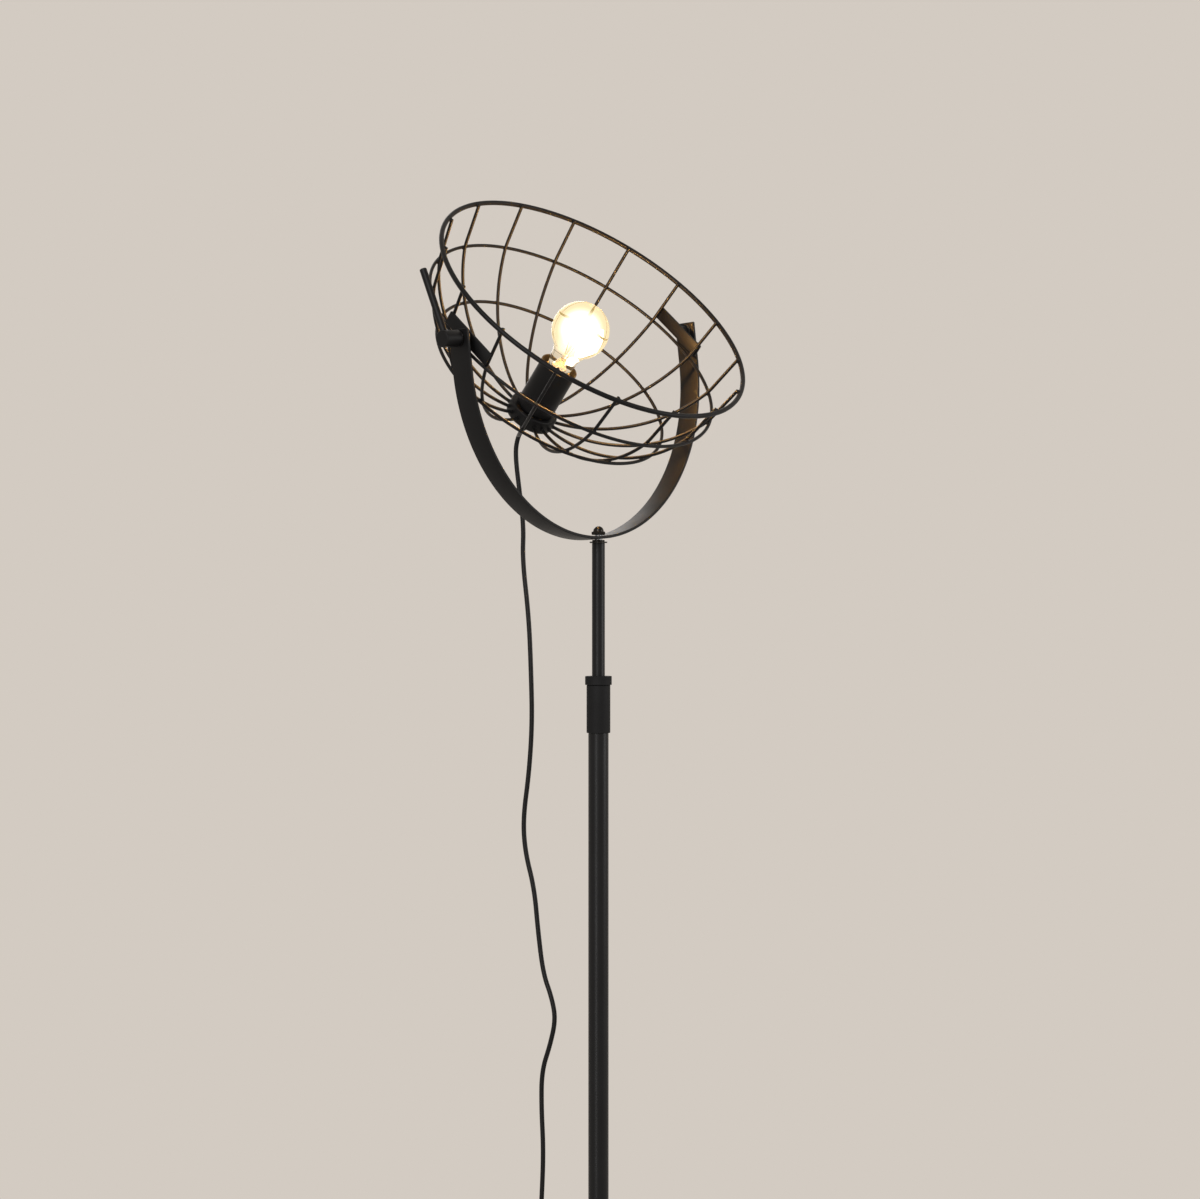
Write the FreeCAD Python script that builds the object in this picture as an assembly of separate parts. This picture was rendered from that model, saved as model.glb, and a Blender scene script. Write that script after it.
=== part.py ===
import FreeCAD, Part
import math
import os

# Wire cage floor lamp: a weighted round base, a telescopic stem with a twist collar,
# a U bracket on the stem's nut, and a tilting wire cage with its lampholder and bulb.
# Millimetres. Z is up, the origin is the middle of the base's underside on the floor,
# the cage's pivot axis lies along X, and the cage opens towards -Y at rest.

# ---------------------------------------------------------------- driving dimensions

# base
base_radius = 140.0
base_cover_wall = 1.5
base_cover_corner = 8.0
round_steps = 4
base_cover_lift = 1.2
base_pad_thickness = 2.5
base_pad_inset = 9.0
base_weight_thickness = 15.0
base_bolt_radius = 4.95
base_bolt_head_flats = 17.0
base_bolt_head_height = 6.0
base_bolt_reach = 20.0
base_bolt_flange_radius = 11.0
base_bolt_flange_thickness = 1.6
base_recess_radius = 14.0

# stem
lower_tube_radius = 10.5
lower_tube_wall = 1.2
inner_tube_radius = 6.7
inner_tube_wall = 1.2
inner_tube_length = 700.0
tube_ring_radius = 18.0
tube_ring_height = 12.0
tube_ring_round = 4.0
tube_foot_length = 34.0
guide_bush_length = 30.0
guide_bush_lip = 3.0
stud_radius = 3.95
stud_plug_length = 22.0

# twist collar
collar_drop = 143.1
collar_body_radius = 12.3
collar_body_length = 49.3
collar_ring_radius = 13.8
collar_ring_height = 9.2
collar_ring_edge = 0.8
collar_tube_seat = 24.0
collar_shelf_thickness = 3.0
collar_neck_radius = 11.2
collar_neck_height = 5.6
collar_socket_radius = 9.8
collet_slit = 2.0

# bracket
seat_height = 1284.0
pivot_rise = 210.3
bracket_strip_width = 25.0
bracket_strip_thickness = 3.0
bracket_arm_top = 9.0
bracket_hole_radius = 4.6
bracket_pivot_hole_radius = 3.3
bracket_lean_side = 5.5
bracket_lean_back = 2.8
stem_washer_radius = 9.1
stem_washer_thickness = 1.4
lock_washer_radius = 6.5
lock_washer_thickness = 1.8
nut_flats = 13.0
nut_hex_height = 3.6
nut_dome_radius = 5.5
nut_height = 9.2
nut_roof = 2.0

# cage
head_tilt = 45.5
rim_radius = 174.0
rim_height = 36.9
rim_wire = 5.0
ring_wire = 3.5
rib_wire = 3.5
rib_count = 16
rib_end_above_rim = 1.5
rib_shoulder_radius = 162.7
rib_shoulder_height = -2.0
rib_bend_radius = 57.0
rib_bend_end_angle = 66.7
rib_bowl_radius = 153.6
upper_ring_angle = 71.0
lower_ring_angle = 46.5
wire_sides = 6

# pivots
pivot_plate_height = 14.0
pivot_plate_thickness = 2.5
pivot_screw_radius = 2.95
pivot_screw_head_radius = 5.5
pivot_screw_head_height = 3.4
pivot_screw_edge = 1.2
pivot_screw_socket_flats = 4.0
pivot_screw_socket_depth = 2.0
pivot_spacer_radius = 6.0
pivot_spacer_length = 8.05
pivot_washer_radius = 8.0
pivot_washer_thickness = 1.2

# clamp lever
lever_hub_radius = 8.3
lever_hub_length = 22.0
lever_edge = 1.0
lever_stud_sink = 10.0
lever_bar_radius = 3.6
lever_bar_length = 66.0
lever_bar_sink = 4.0
lever_bar_inset = 2.4
lever_bar_back_angle = 17.0

# crown, lampholder and bulb, measured down the cage axis from the pivot
crown_top = -98.0
crown_thickness = 15.0
crown_radius = 26.5
crown_wall = 2.0
crown_edge = 1.2
holder_radius = 20.4
holder_wall = 1.0
holder_mouth = -42.0
holder_body_radius = 17.5
holder_body_top = -49.0
holder_body_floor = 10.0
holder_shell_radius = 13.9
holder_shell_wall = 0.5
holder_shell_length = 24.0
nipple_radius = 4.95
nipple_bore = 3.3
nipple_nut_flats = 14.0
nipple_nut_height = 3.0
nipple_sink = 3.0
contact_length = 16.0
contact_width = 5.0
contact_thickness = 0.8
bulb_radius = 30.0
bulb_centre = 5.5
bulb_neck_radius = 14.5
bulb_neck_blend = 26.0
bulb_cap_top = -43.0
bulb_glass_wall = 0.8
bulb_cap_radius = 12.9
bulb_cap_length = 22.0
bulb_cap_taper = 2.5
bulb_tip_radius = 4.8
bulb_tip_length = 4.0
filament_flare_height = 14.0
filament_flare_radius = 7.0
filament_stem_height = 24.0
filament_stem_radius = 2.2
filament_lift = 4.0
filament_half_span = 13.0
filament_wire_radius = 0.5
filament_bar_radius = 1.1

# cord and what is on it
cord_radius = 2.5
gland_length = 22.0
gland_sink = 8.0
gland_top_radius = 5.2
gland_tip_radius = 3.3
switch_length = 74.0
switch_width = 36.0
switch_height = 20.0
switch_wall = 1.6
switch_floor = 2.4
switch_corner = 14.0
switch_edge = 1.5
switch_end_height = 7.0
switch_button_radius = 12.0
switch_button_proud = 5.0
switch_relief_length = 20.0
button_flange_radius = 13.5
button_flange_thickness = 2.5
spring_radius = 5.0
spring_wire_radius = 0.5
spring_turns = 3
relief_neck_radius = 3.4
relief_collar_radius = 4.4
relief_collar_length = 5.0
relief_root_radius = 4.8
relief_tip_radius = 3.2
coil_turns_in = 2.0
coil_turns_out = 2.25
coil_inner_radius = 21.6
coil_pitch = 5.6
coil_lead = 14.0
plug_grip_length = 16.0
plug_face_length = 18.0
plug_width = 35.3
plug_waist = 20.0
plug_depth = 13.7
plug_round = 3.0
plug_pin_radius = 2.0
plug_pin_length = 19.0
plug_pin_edge = 0.8
plug_pin_spacing = 18.6
plug_relief_length = 24.0

# fits
press_gap = 0.02
running_gap = 0.05
loose_gap = 0.3
weld_gap = 0.02
part_gap = 0.1

# ---------------------------------------------------------------- frames

V = FreeCAD.Vector
ORIGIN = V(0, 0, 0)
X_AXIS = V(1, 0, 0)
Y_AXIS = V(0, 1, 0)
Z_AXIS = V(0, 0, 1)

lean = FreeCAD.Rotation(Y_AXIS, -bracket_lean_side) * FreeCAD.Rotation(X_AXIS, -bracket_lean_back)
seat_point = V(0, 0, seat_height)
bracket_place = FreeCAD.Placement(seat_point + lean.multVec(V(0, 0, pivot_rise)), lean)
cage_place = bracket_place * FreeCAD.Placement(ORIGIN, FreeCAD.Rotation(X_AXIS, head_tilt))


def placed(shape, placement):
    """The shape moved by a placement, with its own placement kept."""
    copy = shape.copy()
    copy.Placement = placement * copy.Placement
    return copy


# ---------------------------------------------------------------- basic shapes


def rod(radius, bottom, top):
    """A round bar about Z."""
    return Part.makeCylinder(radius, top - bottom, V(0, 0, bottom))


def tube(outer, inner, bottom, top):
    """A round tube about Z."""
    return rod(outer, bottom, top).cut(rod(inner, bottom - 1, top + 1))


def cone(bottom_radius, top_radius, bottom, top):
    """A round taper about Z."""
    return Part.makeCone(bottom_radius, top_radius, top - bottom, V(0, 0, bottom))


def hexagon(flats, bottom, top):
    """A hexagonal bar about Z, from its width across flats."""
    corner = flats / math.sqrt(3.0)
    points = []
    for side in range(7):
        turn = math.radians(60.0 * side + 30.0)
        points.append(V(corner * math.cos(turn), corner * math.sin(turn), bottom))
    face = Part.Face(Part.makePolygon(points))
    return face.extrude(V(0, 0, top - bottom))


def spun(points):
    """A solid of revolution about Z from its half outline as (radius, height) pairs."""
    outline = Part.makePolygon([V(r, 0, z) for r, z in points + points[:1]])
    return Part.Face(outline).revolve(ORIGIN, Z_AXIS, 360)


def round_points(centre_radius, centre_height, arc_radius, start_degrees, end_degrees, steps):
    """Points of an arc in a half outline, as (radius, height) pairs; 0 degrees faces outwards."""
    pairs = []
    for step in range(steps + 1):
        turn = math.radians(start_degrees + (end_degrees - start_degrees) * step / steps)
        radius = centre_radius + arc_radius * math.cos(turn)
        pairs.append((radius, centre_height + arc_radius * math.sin(turn)))
    return pairs


def along_x(shape):
    """A shape built about Z, turned so that its axis is X."""
    return placed(shape, FreeCAD.Placement(ORIGIN, FreeCAD.Rotation(Y_AXIS, 90)))


def unit(vector):
    copy = V(vector)
    copy.normalize()
    return copy


# ---------------------------------------------------------------- base

pad_top = base_pad_thickness
weight_top = pad_top + base_weight_thickness
cover_top = weight_top + base_cover_wall
bolt_head_top = pad_top + loose_gap + base_bolt_head_height
recess_top = bolt_head_top + base_bolt_flange_thickness
bolt_top = cover_top + base_bolt_reach


def make_base_pad():
    return rod(base_radius - base_pad_inset, 0, pad_top)


def make_base_weight():
    """The iron disc that keeps the lamp standing, with a recess for the bolt's head."""
    radius = base_radius - base_cover_wall - loose_gap
    bevel = base_cover_corner - base_cover_wall
    body = spun([
        (0, pad_top),
        (radius, pad_top),
        (radius, weight_top - bevel),
        (radius - bevel, weight_top),
        (0, weight_top),
    ])
    recess = rod(base_recess_radius, pad_top - 1, recess_top)
    hole = rod(base_bolt_radius + loose_gap, pad_top, weight_top + 1)
    return body.cut(recess).cut(hole)


def make_base_cover():
    """A pressed shell with a rounded rim that hides the weight and ends just above the floor."""
    bore = base_bolt_radius + loose_gap
    corner_radius = base_radius - base_cover_corner
    corner_height = cover_top - base_cover_corner
    inner_corner = base_cover_corner - base_cover_wall
    outline = [(base_radius, base_cover_lift)]
    outline += round_points(corner_radius, corner_height, base_cover_corner, 0, 90, round_steps)
    outline += [(bore, cover_top), (bore, weight_top)]
    outline += round_points(corner_radius, corner_height, inner_corner, 90, 0, round_steps)
    outline.append((base_radius - base_cover_wall, base_cover_lift))
    return spun(outline)


def make_base_bolt():
    """The flanged bolt that pulls the stem's foot down onto the base."""
    head = hexagon(base_bolt_head_flats, pad_top + loose_gap, bolt_head_top)
    flange = rod(base_bolt_flange_radius, bolt_head_top, recess_top)
    return head.fuse(flange).fuse(rod(base_bolt_radius, recess_top, bolt_top))


# ---------------------------------------------------------------- cage and bracket widths

# A wire is drawn with few flat sides and the round wire's area. Where wires are welded, a flat
# side of one lies on a flat side of the other.
wire_corner_share = math.sqrt(2 * math.pi / wire_sides / math.sin(2 * math.pi / wire_sides))
wire_flat_share = wire_corner_share * math.cos(math.pi / wire_sides)
rib_flat = rib_wire / 2.0 * wire_flat_share
rim_flat = rim_wire / 2.0 * wire_flat_share
ring_flat = ring_wire / 2.0 * wire_flat_share
rim_run = rim_radius - rib_shoulder_radius
rim_lift = rim_height - rib_shoulder_height
rim_offset = rim_flat + rib_flat + weld_gap
shoulder_turn = math.atan2(rim_lift, rim_run) + math.asin(rim_offset / math.hypot(rim_run, rim_lift))
rib_top_height = rim_height + rib_end_above_rim
rib_top_radius = rib_shoulder_radius + (rib_top_height - rib_shoulder_height) / math.tan(shoulder_turn)
bend_turn = math.radians(rib_bend_end_angle)

# the plate touches two ribs along its upper edge, where they lean outwards most
rib_half_step = math.radians(180.0 / rib_count)
plate_half_height = pivot_plate_height / 2.0
plate_rib_radius = rib_shoulder_radius + (plate_half_height - rib_shoulder_height) / math.tan(shoulder_turn)
plate_inner = plate_rib_radius * math.cos(rib_half_step) + rib_flat / math.sin(shoulder_turn) + weld_gap
plate_outer = plate_inner + pivot_plate_thickness
plate_half_length = plate_rib_radius * math.sin(rib_half_step) + rib_wire / 2.0

# the bracket's arms stand outside the plates, their spacers and their friction washers
half_strip = bracket_strip_thickness / 2.0
spacer_inner = plate_outer + press_gap
spacer_outer = spacer_inner + pivot_spacer_length
arm_inner = spacer_outer + loose_gap + pivot_washer_thickness + press_gap
arm_outer = arm_inner + bracket_strip_thickness
bracket_half_width = arm_inner + half_strip


# ---------------------------------------------------------------- stem

collar_top = seat_height - collar_drop
collar_ring_bottom = collar_top - collar_ring_height
collar_body_top = collar_ring_bottom - loose_gap
collar_body_bottom = collar_body_top - collar_body_length
lower_tube_top = collar_body_bottom + collar_tube_seat
lower_tube_bore = lower_tube_radius - lower_tube_wall
inner_tube_bore = inner_tube_radius - inner_tube_wall

# the leaning strip touches the washer's edge on one side and the nut's on the other
lean_slope = math.tan(math.radians(math.hypot(bracket_lean_side, bracket_lean_back)))
nut_corner = nut_flats / math.sqrt(3.0)
bow = 2.0 * bracket_half_width
washer_drop = lock_washer_radius * lean_slope - lock_washer_radius ** 2 / bow
nut_lift = nut_corner * lean_slope + nut_corner ** 2 / bow
lock_washer_top = seat_height - half_strip - washer_drop - loose_gap
stem_washer_top = lock_washer_top - lock_washer_thickness
inner_tube_top = stem_washer_top - stem_washer_thickness
inner_tube_bottom = inner_tube_top - inner_tube_length
nut_bottom = seat_height + half_strip + nut_lift + loose_gap
mast_stud_top = nut_bottom + nut_height - nut_roof - part_gap


def make_tube_ring():
    """The turned ring that hides the joint between the cover and the stem."""
    bore = lower_tube_radius + press_gap
    top = cover_top + tube_ring_height
    round_centre = tube_ring_radius - tube_ring_round
    outline = [(bore, cover_top), (tube_ring_radius, cover_top)]
    outline += round_points(round_centre, top - tube_ring_round, tube_ring_round, 0, 90, round_steps)
    outline.append((bore, top))
    return spun(outline)


def make_tube_foot():
    """The threaded plug that the base bolt pulls on, pressed into the stem's lower end."""
    plug = rod(lower_tube_bore - press_gap, cover_top, cover_top + tube_foot_length)
    return plug.cut(rod(base_bolt_radius + running_gap, cover_top - 1, bolt_top + 2))


def make_lower_tube():
    return tube(lower_tube_radius, lower_tube_bore, cover_top, lower_tube_top)


def make_collar_body():
    """The fixed sleeve: it seats on the tube's end and carries the collet and the neck."""
    neck_top = collar_body_top + collar_neck_height
    shelf_top = lower_tube_top + collar_shelf_thickness
    body = rod(collar_body_radius, collar_body_bottom, collar_body_top)
    body = body.fuse(rod(collar_neck_radius, collar_body_top - 1, neck_top))
    body = body.cut(rod(lower_tube_radius + press_gap, collar_body_bottom - 1, lower_tube_top))
    body = body.cut(rod(inner_tube_radius + loose_gap, lower_tube_top - 1, shelf_top + 1))
    return body.cut(rod(collar_socket_radius, shelf_top, neck_top + 1)).removeSplitter()


def make_collar_collet():
    """The slit plastic sleeve that the ring squeezes onto the inner tube."""
    bottom = lower_tube_top + collar_shelf_thickness + press_gap
    top = collar_body_top + collar_neck_height
    shoulder = top - collar_neck_height
    tip_radius = collar_socket_radius - 1.2
    sleeve = rod(collar_socket_radius - press_gap, bottom, shoulder)
    sleeve = sleeve.fuse(cone(collar_socket_radius - press_gap, tip_radius, shoulder, top))
    sleeve = sleeve.cut(rod(inner_tube_radius + running_gap, bottom - 1, top + 1))
    corner = V(0, -collet_slit / 2.0, bottom - 1)
    return sleeve.cut(Part.makeBox(collar_body_radius, collet_slit, top - bottom + 2, corner))


def make_collar_ring():
    """The twist ring: its skirt turns on the neck and its roof bears on the collet."""
    roof_bottom = collar_body_top + collar_neck_height + loose_gap
    body = rod(collar_ring_radius, collar_ring_bottom, collar_top)
    edges = [e for e in body.Edges if e.BoundBox.ZLength < 1e-6]
    body = body.makeChamfer(collar_ring_edge, edges)
    body = body.cut(rod(collar_neck_radius + part_gap, collar_ring_bottom - 1, roof_bottom))
    return body.cut(rod(inner_tube_radius + loose_gap, roof_bottom - 1, collar_top + 1))


def make_inner_tube():
    return tube(inner_tube_radius, inner_tube_bore, inner_tube_bottom, inner_tube_top)


def make_guide_bush():
    """The plastic sleeve on the inner tube's lower end that runs in the lower tube."""
    outer = lower_tube_bore - running_gap
    bottom = inner_tube_bottom - guide_bush_lip
    sleeve = tube(outer, inner_tube_radius + press_gap, inner_tube_bottom, bottom + guide_bush_length)
    return sleeve.fuse(tube(outer, inner_tube_bore, bottom, inner_tube_bottom)).removeSplitter()


def make_mast_stud():
    """The turned insert in the inner tube's upper end, with the threaded stud on top."""
    plug = rod(inner_tube_bore - press_gap, inner_tube_top - stud_plug_length, inner_tube_top)
    return plug.fuse(rod(stud_radius, inner_tube_top, mast_stud_top))


def make_stem_washer():
    return tube(stem_washer_radius, stud_radius + part_gap, inner_tube_top, stem_washer_top)


def make_lock_washer():
    return tube(lock_washer_radius, stud_radius + part_gap, stem_washer_top, lock_washer_top)


def make_dome_nut():
    """The acorn nut that holds the bracket: a hexagon and a round cap."""
    hex_top = nut_bottom + nut_hex_height
    dome_centre = nut_bottom + nut_height - nut_dome_radius
    outline = [(0, hex_top), (nut_dome_radius, hex_top)]
    outline += round_points(0, dome_centre, nut_dome_radius, 0, 90, round_steps)
    body = hexagon(nut_flats, nut_bottom, hex_top).fuse(spun(outline))
    return body.cut(rod(stud_radius + running_gap, nut_bottom - 1, mast_stud_top + part_gap))


# ---------------------------------------------------------------- bracket, in its own frame

bend_centre_height = bracket_half_width - pivot_rise


def bracket_outline(radius):
    """One side of the strip: arm, half circle and arm, as edges in the XZ plane."""
    top = bracket_arm_top
    low = bend_centre_height
    left_top = V(-radius, 0, top)
    left_low = V(-radius, 0, low)
    right_low = V(radius, 0, low)
    right_top = V(radius, 0, top)
    middle = V(0, 0, low - radius)
    return [
        Part.makeLine(left_top, left_low),
        Part.Arc(left_low, middle, right_low).toShape(),
        Part.makeLine(right_low, right_top),
    ]


def make_yoke_bracket():
    """The U bent from flat strip, with a hole at the middle of the bend and one in each arm."""
    outer = bracket_outline(arm_outer)
    inner = bracket_outline(arm_inner)
    top = bracket_arm_top
    ends = [
        Part.makeLine(V(-arm_outer, 0, top), V(-arm_inner, 0, top)),
        Part.makeLine(V(arm_inner, 0, top), V(arm_outer, 0, top)),
    ]
    wire = Part.Wire(Part.__sortEdges__(outer + inner + ends))
    strip = Part.Face(wire).extrude(V(0, bracket_strip_width, 0))
    strip.translate(V(0, -bracket_strip_width / 2.0, 0))
    reach = arm_outer + 5.0
    pivot_hole = along_x(rod(bracket_pivot_hole_radius, -reach, reach))
    seat_hole = rod(bracket_hole_radius, -pivot_rise - 10.0, -pivot_rise + 10.0)
    return strip.cut(pivot_hole).cut(seat_hole)


# ---------------------------------------------------------------- cage, in its own frame

def arc_centre(radius, height, arc_radius, turn):
    """The centre of the arc that passes (radius, height) with its slope at this turn from level."""
    return (radius - arc_radius * math.sin(turn), height + arc_radius * math.cos(turn))


def on_arc(centre, arc_radius, turn):
    """A point of an arc where its slope has this turn from level, as (radius, height)."""
    return (centre[0] + arc_radius * math.sin(turn), centre[1] - arc_radius * math.cos(turn))


bend_centre = arc_centre(rib_shoulder_radius, rib_shoulder_height, rib_bend_radius, shoulder_turn)
bowl_start = on_arc(bend_centre, rib_bend_radius, bend_turn)
bowl_centre = arc_centre(bowl_start[0], bowl_start[1], rib_bowl_radius, bend_turn)
rib_end_turn = math.asin((crown_radius + loose_gap - bowl_centre[0]) / rib_bowl_radius)


def rib_point(turn):
    """A point of the rib's curved part, by its turn from level."""
    if turn > bend_turn:
        return on_arc(bend_centre, rib_bend_radius, turn)
    return on_arc(bowl_centre, rib_bowl_radius, turn)


def upright(pair):
    """A (radius, height) pair as a point of the XZ plane."""
    return V(pair[0], 0, pair[1])


def wire_section(centre, direction, facing, wire):
    """The section of a wire square to its direction, with a flat side towards facing."""
    across = direction.cross(facing)
    corner = wire / 2.0 * wire_corner_share
    points = []
    for index in range(wire_sides + 1):
        turn = 2 * math.pi * (index + 0.5) / wire_sides
        points.append(centre + facing * (corner * math.cos(turn)) + across * (corner * math.sin(turn)))
    return Part.makePolygon(points)


def make_ring(centre, facing, wire):
    """A closed ring of wire about the cage's axis, through a centre in the XZ plane."""
    section = wire_section(centre, Y_AXIS, facing, wire)
    return Part.Face(section).revolve(ORIGIN, Z_AXIS, 360)


def make_cage_rim():
    facing = V(-math.sin(shoulder_turn), 0, math.cos(shoulder_turn))
    return make_ring(V(rim_radius, 0, rim_height), facing, rim_wire)


def make_hoop(angle):
    """A ring welded to the outside of the ribs, where their slope has this angle."""
    turn = math.radians(angle)
    outward = V(math.sin(turn), 0, -math.cos(turn))
    centre = upright(rib_point(turn)) + outward * (rib_flat + ring_flat + weld_gap)
    return make_ring(centre, outward * -1, ring_wire)


def swept(path, section):
    """A solid drawn along a path by a closed section at its start."""
    sweep = Part.BRepOffsetAPI.MakePipeShell(path)
    sweep.add(section, False, False)
    sweep.build()
    sweep.makeSolid()
    return sweep.shape()


def make_rib():
    """One rib in the XZ plane: a straight top, a tight bend and the long bowl curve."""
    top = V(rib_top_radius, 0, rib_top_height)
    shoulder = V(rib_shoulder_radius, 0, rib_shoulder_height)
    bend_middle = upright(on_arc(bend_centre, rib_bend_radius, (shoulder_turn + bend_turn) / 2.0))
    bowl_middle = upright(on_arc(bowl_centre, rib_bowl_radius, (bend_turn + rib_end_turn) / 2.0))
    end = upright(on_arc(bowl_centre, rib_bowl_radius, rib_end_turn))
    path = Part.Wire([
        Part.makeLine(top, shoulder),
        Part.Arc(shoulder, bend_middle, upright(bowl_start)).toShape(),
        Part.Arc(upright(bowl_start), bowl_middle, end).toShape(),
    ])
    down = unit(shoulder - top)
    return swept(path, wire_section(top, down, Y_AXIS.cross(down), rib_wire))


def make_rib_pair(number):
    """Two ribs that face each other: the pivots lie midway between two ribs."""
    rib = make_rib()
    turn = (number + 0.5) * 360.0 / rib_count
    ribs = []
    for opposite in (0.0, 180.0):
        about_axis = FreeCAD.Rotation(Z_AXIS, turn + opposite)
        ribs.append(placed(rib, FreeCAD.Placement(ORIGIN, about_axis)))
    return Part.makeCompound(ribs)


def make_crown():
    """The pressed cup at the cage's bottom that all ribs are welded to."""
    bore = crown_radius - crown_wall
    body = rod(crown_radius, crown_bottom, crown_top)
    rims = [e for e in body.Edges if e.BoundBox.ZLength < 1e-6]
    body = body.makeChamfer(crown_edge, rims)
    body = body.cut(rod(bore, crown_bottom + crown_wall, crown_top - crown_wall))
    return body.cut(rod(nipple_radius + running_gap, crown_bottom - 1, crown_top + 1))


# ---------------------------------------------------------------- pivots, in the cage frame

def make_pivot_plate():
    """The flat bar welded across two ribs, with the tapped pivot hole in its middle."""
    corner = V(plate_inner, -plate_half_length, -plate_half_height)
    bar = Part.makeBox(pivot_plate_thickness, 2 * plate_half_length, pivot_plate_height, corner)
    return bar.cut(along_x(rod(pivot_screw_radius + running_gap, plate_inner - 1, plate_outer + 1)))


def make_pivot_spacer():
    """The sleeve between the plate and the friction washer."""
    return along_x(tube(pivot_spacer_radius, pivot_screw_radius + running_gap, spacer_inner, spacer_outer))


def make_friction_washer():
    """The plastic washer on the arm's inner face that the cage turns against."""
    inner_end = arm_inner - pivot_washer_thickness - press_gap
    outer_end = arm_inner - press_gap
    return along_x(tube(pivot_washer_radius, pivot_screw_radius + part_gap, inner_end, outer_end))


def make_outer_washer():
    return along_x(tube(pivot_washer_radius, pivot_screw_radius + part_gap, arm_outer + press_gap,
                        arm_outer + press_gap + pivot_washer_thickness))


def make_pivot_screw():
    """The round-headed screw of the right pivot, driven into the plate from outside."""
    head_bottom = arm_outer + pivot_washer_thickness + loose_gap
    head = rod(pivot_screw_head_radius, head_bottom, head_bottom + pivot_screw_head_height)
    head_top = head_bottom + pivot_screw_head_height
    rims = [e for e in head.Edges if abs(e.BoundBox.ZMin - head_top) < 1e-6]
    head = head.makeChamfer(pivot_screw_edge, rims)
    socket = hexagon(pivot_screw_socket_flats, head_top - pivot_screw_socket_depth, head_top + 1)
    screw = head.fuse(rod(pivot_screw_radius, plate_inner, head_bottom)).cut(socket)
    return along_x(screw)


def mirrored(shape):
    return shape.mirror(ORIGIN, X_AXIS)


# ---------------------------------------------------------------- clamp lever, in the bracket frame

hub_inner = arm_outer + pivot_washer_thickness + loose_gap
hub_outer = hub_inner + lever_hub_length


def lever_bar_stock(radius, bottom, top):
    """A bar along the handle's direction, standing on the barrel near its outer end."""
    back = FreeCAD.Rotation(X_AXIS, -lever_bar_back_angle)
    middle = V(lever_bar_radius + lever_bar_inset - hub_outer, 0, 0)
    return placed(rod(radius, bottom, top), FreeCAD.Placement(middle, back))


def make_lever_hub():
    """The barrel of the clamp, seated on the left arm's outer washer."""
    barrel = rod(lever_hub_radius, hub_inner, hub_outer)
    rims = [e for e in barrel.Edges if e.BoundBox.ZLength < 1e-6]
    barrel = barrel.makeChamfer(lever_edge, rims)
    bore_end = hub_inner + lever_stud_sink + part_gap
    barrel = mirrored(along_x(barrel.cut(rod(pivot_screw_radius + press_gap, hub_inner - 1, bore_end))))
    foot = lever_hub_radius - lever_bar_sink
    return barrel.cut(lever_bar_stock(lever_bar_radius + press_gap, foot, 2 * lever_hub_radius))


def make_lever_bar():
    """The round handle bar with its bevelled tip."""
    foot = lever_hub_radius - lever_bar_sink + press_gap
    tip = lever_hub_radius + lever_bar_length
    bar = lever_bar_stock(lever_bar_radius, foot, tip)
    rims = [e for e in bar.Edges if e.BoundBox.Center.Length > tip - lever_bar_radius]
    tip_rim = [e for e in rims if e.Closed]
    return bar.makeChamfer(lever_edge, tip_rim)


def make_lever_stud():
    """The threaded rod from the barrel through arm and spacer into the tapped plate."""
    return mirrored(along_x(rod(pivot_screw_radius, plate_inner, hub_inner + lever_stud_sink)))


# ---------------------------------------------------------------- lampholder and bulb, in the cage frame

crown_bottom = crown_top - crown_thickness
holder_bottom = crown_top + part_gap
holder_nut_bottom = holder_bottom + holder_wall
body_bottom = holder_nut_bottom + nipple_nut_height + part_gap
body_floor_top = body_bottom + holder_body_floor
nipple_top = body_bottom + nipple_sink
shell_bottom = holder_body_top - holder_shell_length
bulb_cap_bottom = bulb_cap_top - bulb_cap_length
bulb_tip = bulb_cap_bottom - bulb_tip_length
gland_tip = crown_bottom - gland_length + gland_sink


def make_holder_cup():
    """The spun steel cup that covers the lampholder."""
    cup = rod(holder_radius, holder_bottom, holder_mouth)
    bottom_rim = [e for e in cup.Edges if e.BoundBox.ZMax < holder_bottom + 1e-6]
    cup = cup.makeChamfer(crown_edge, bottom_rim)
    cup = cup.cut(rod(holder_radius - holder_wall, holder_nut_bottom, holder_mouth + 1))
    return cup.cut(rod(nipple_radius + part_gap, holder_bottom - 1, holder_nut_bottom + 1))


def make_lamp_nipple():
    """The threaded pipe that joins crown, cup and lampholder and lets the cord through."""
    return tube(nipple_radius, nipple_bore, crown_bottom, nipple_top)


def make_nipple_nut():
    top = holder_nut_bottom + nipple_nut_height
    bore = rod(nipple_radius + running_gap, holder_nut_bottom - 1, top + 1)
    return hexagon(nipple_nut_flats, holder_nut_bottom, top).cut(bore)


def make_holder_body():
    """The moulded insert: a floor that carries the contact and a wall round the screw shell."""
    body = rod(holder_body_radius, body_bottom, holder_body_top)
    body = body.cut(rod(holder_shell_radius + press_gap, body_floor_top, holder_body_top + 1))
    return body.cut(rod(nipple_radius + running_gap, body_bottom - 1, nipple_top + part_gap))


def make_holder_shell():
    """The brass screw shell that the bulb's cap turns into."""
    return tube(holder_shell_radius, holder_shell_radius - holder_shell_wall, shell_bottom, holder_body_top)


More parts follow.
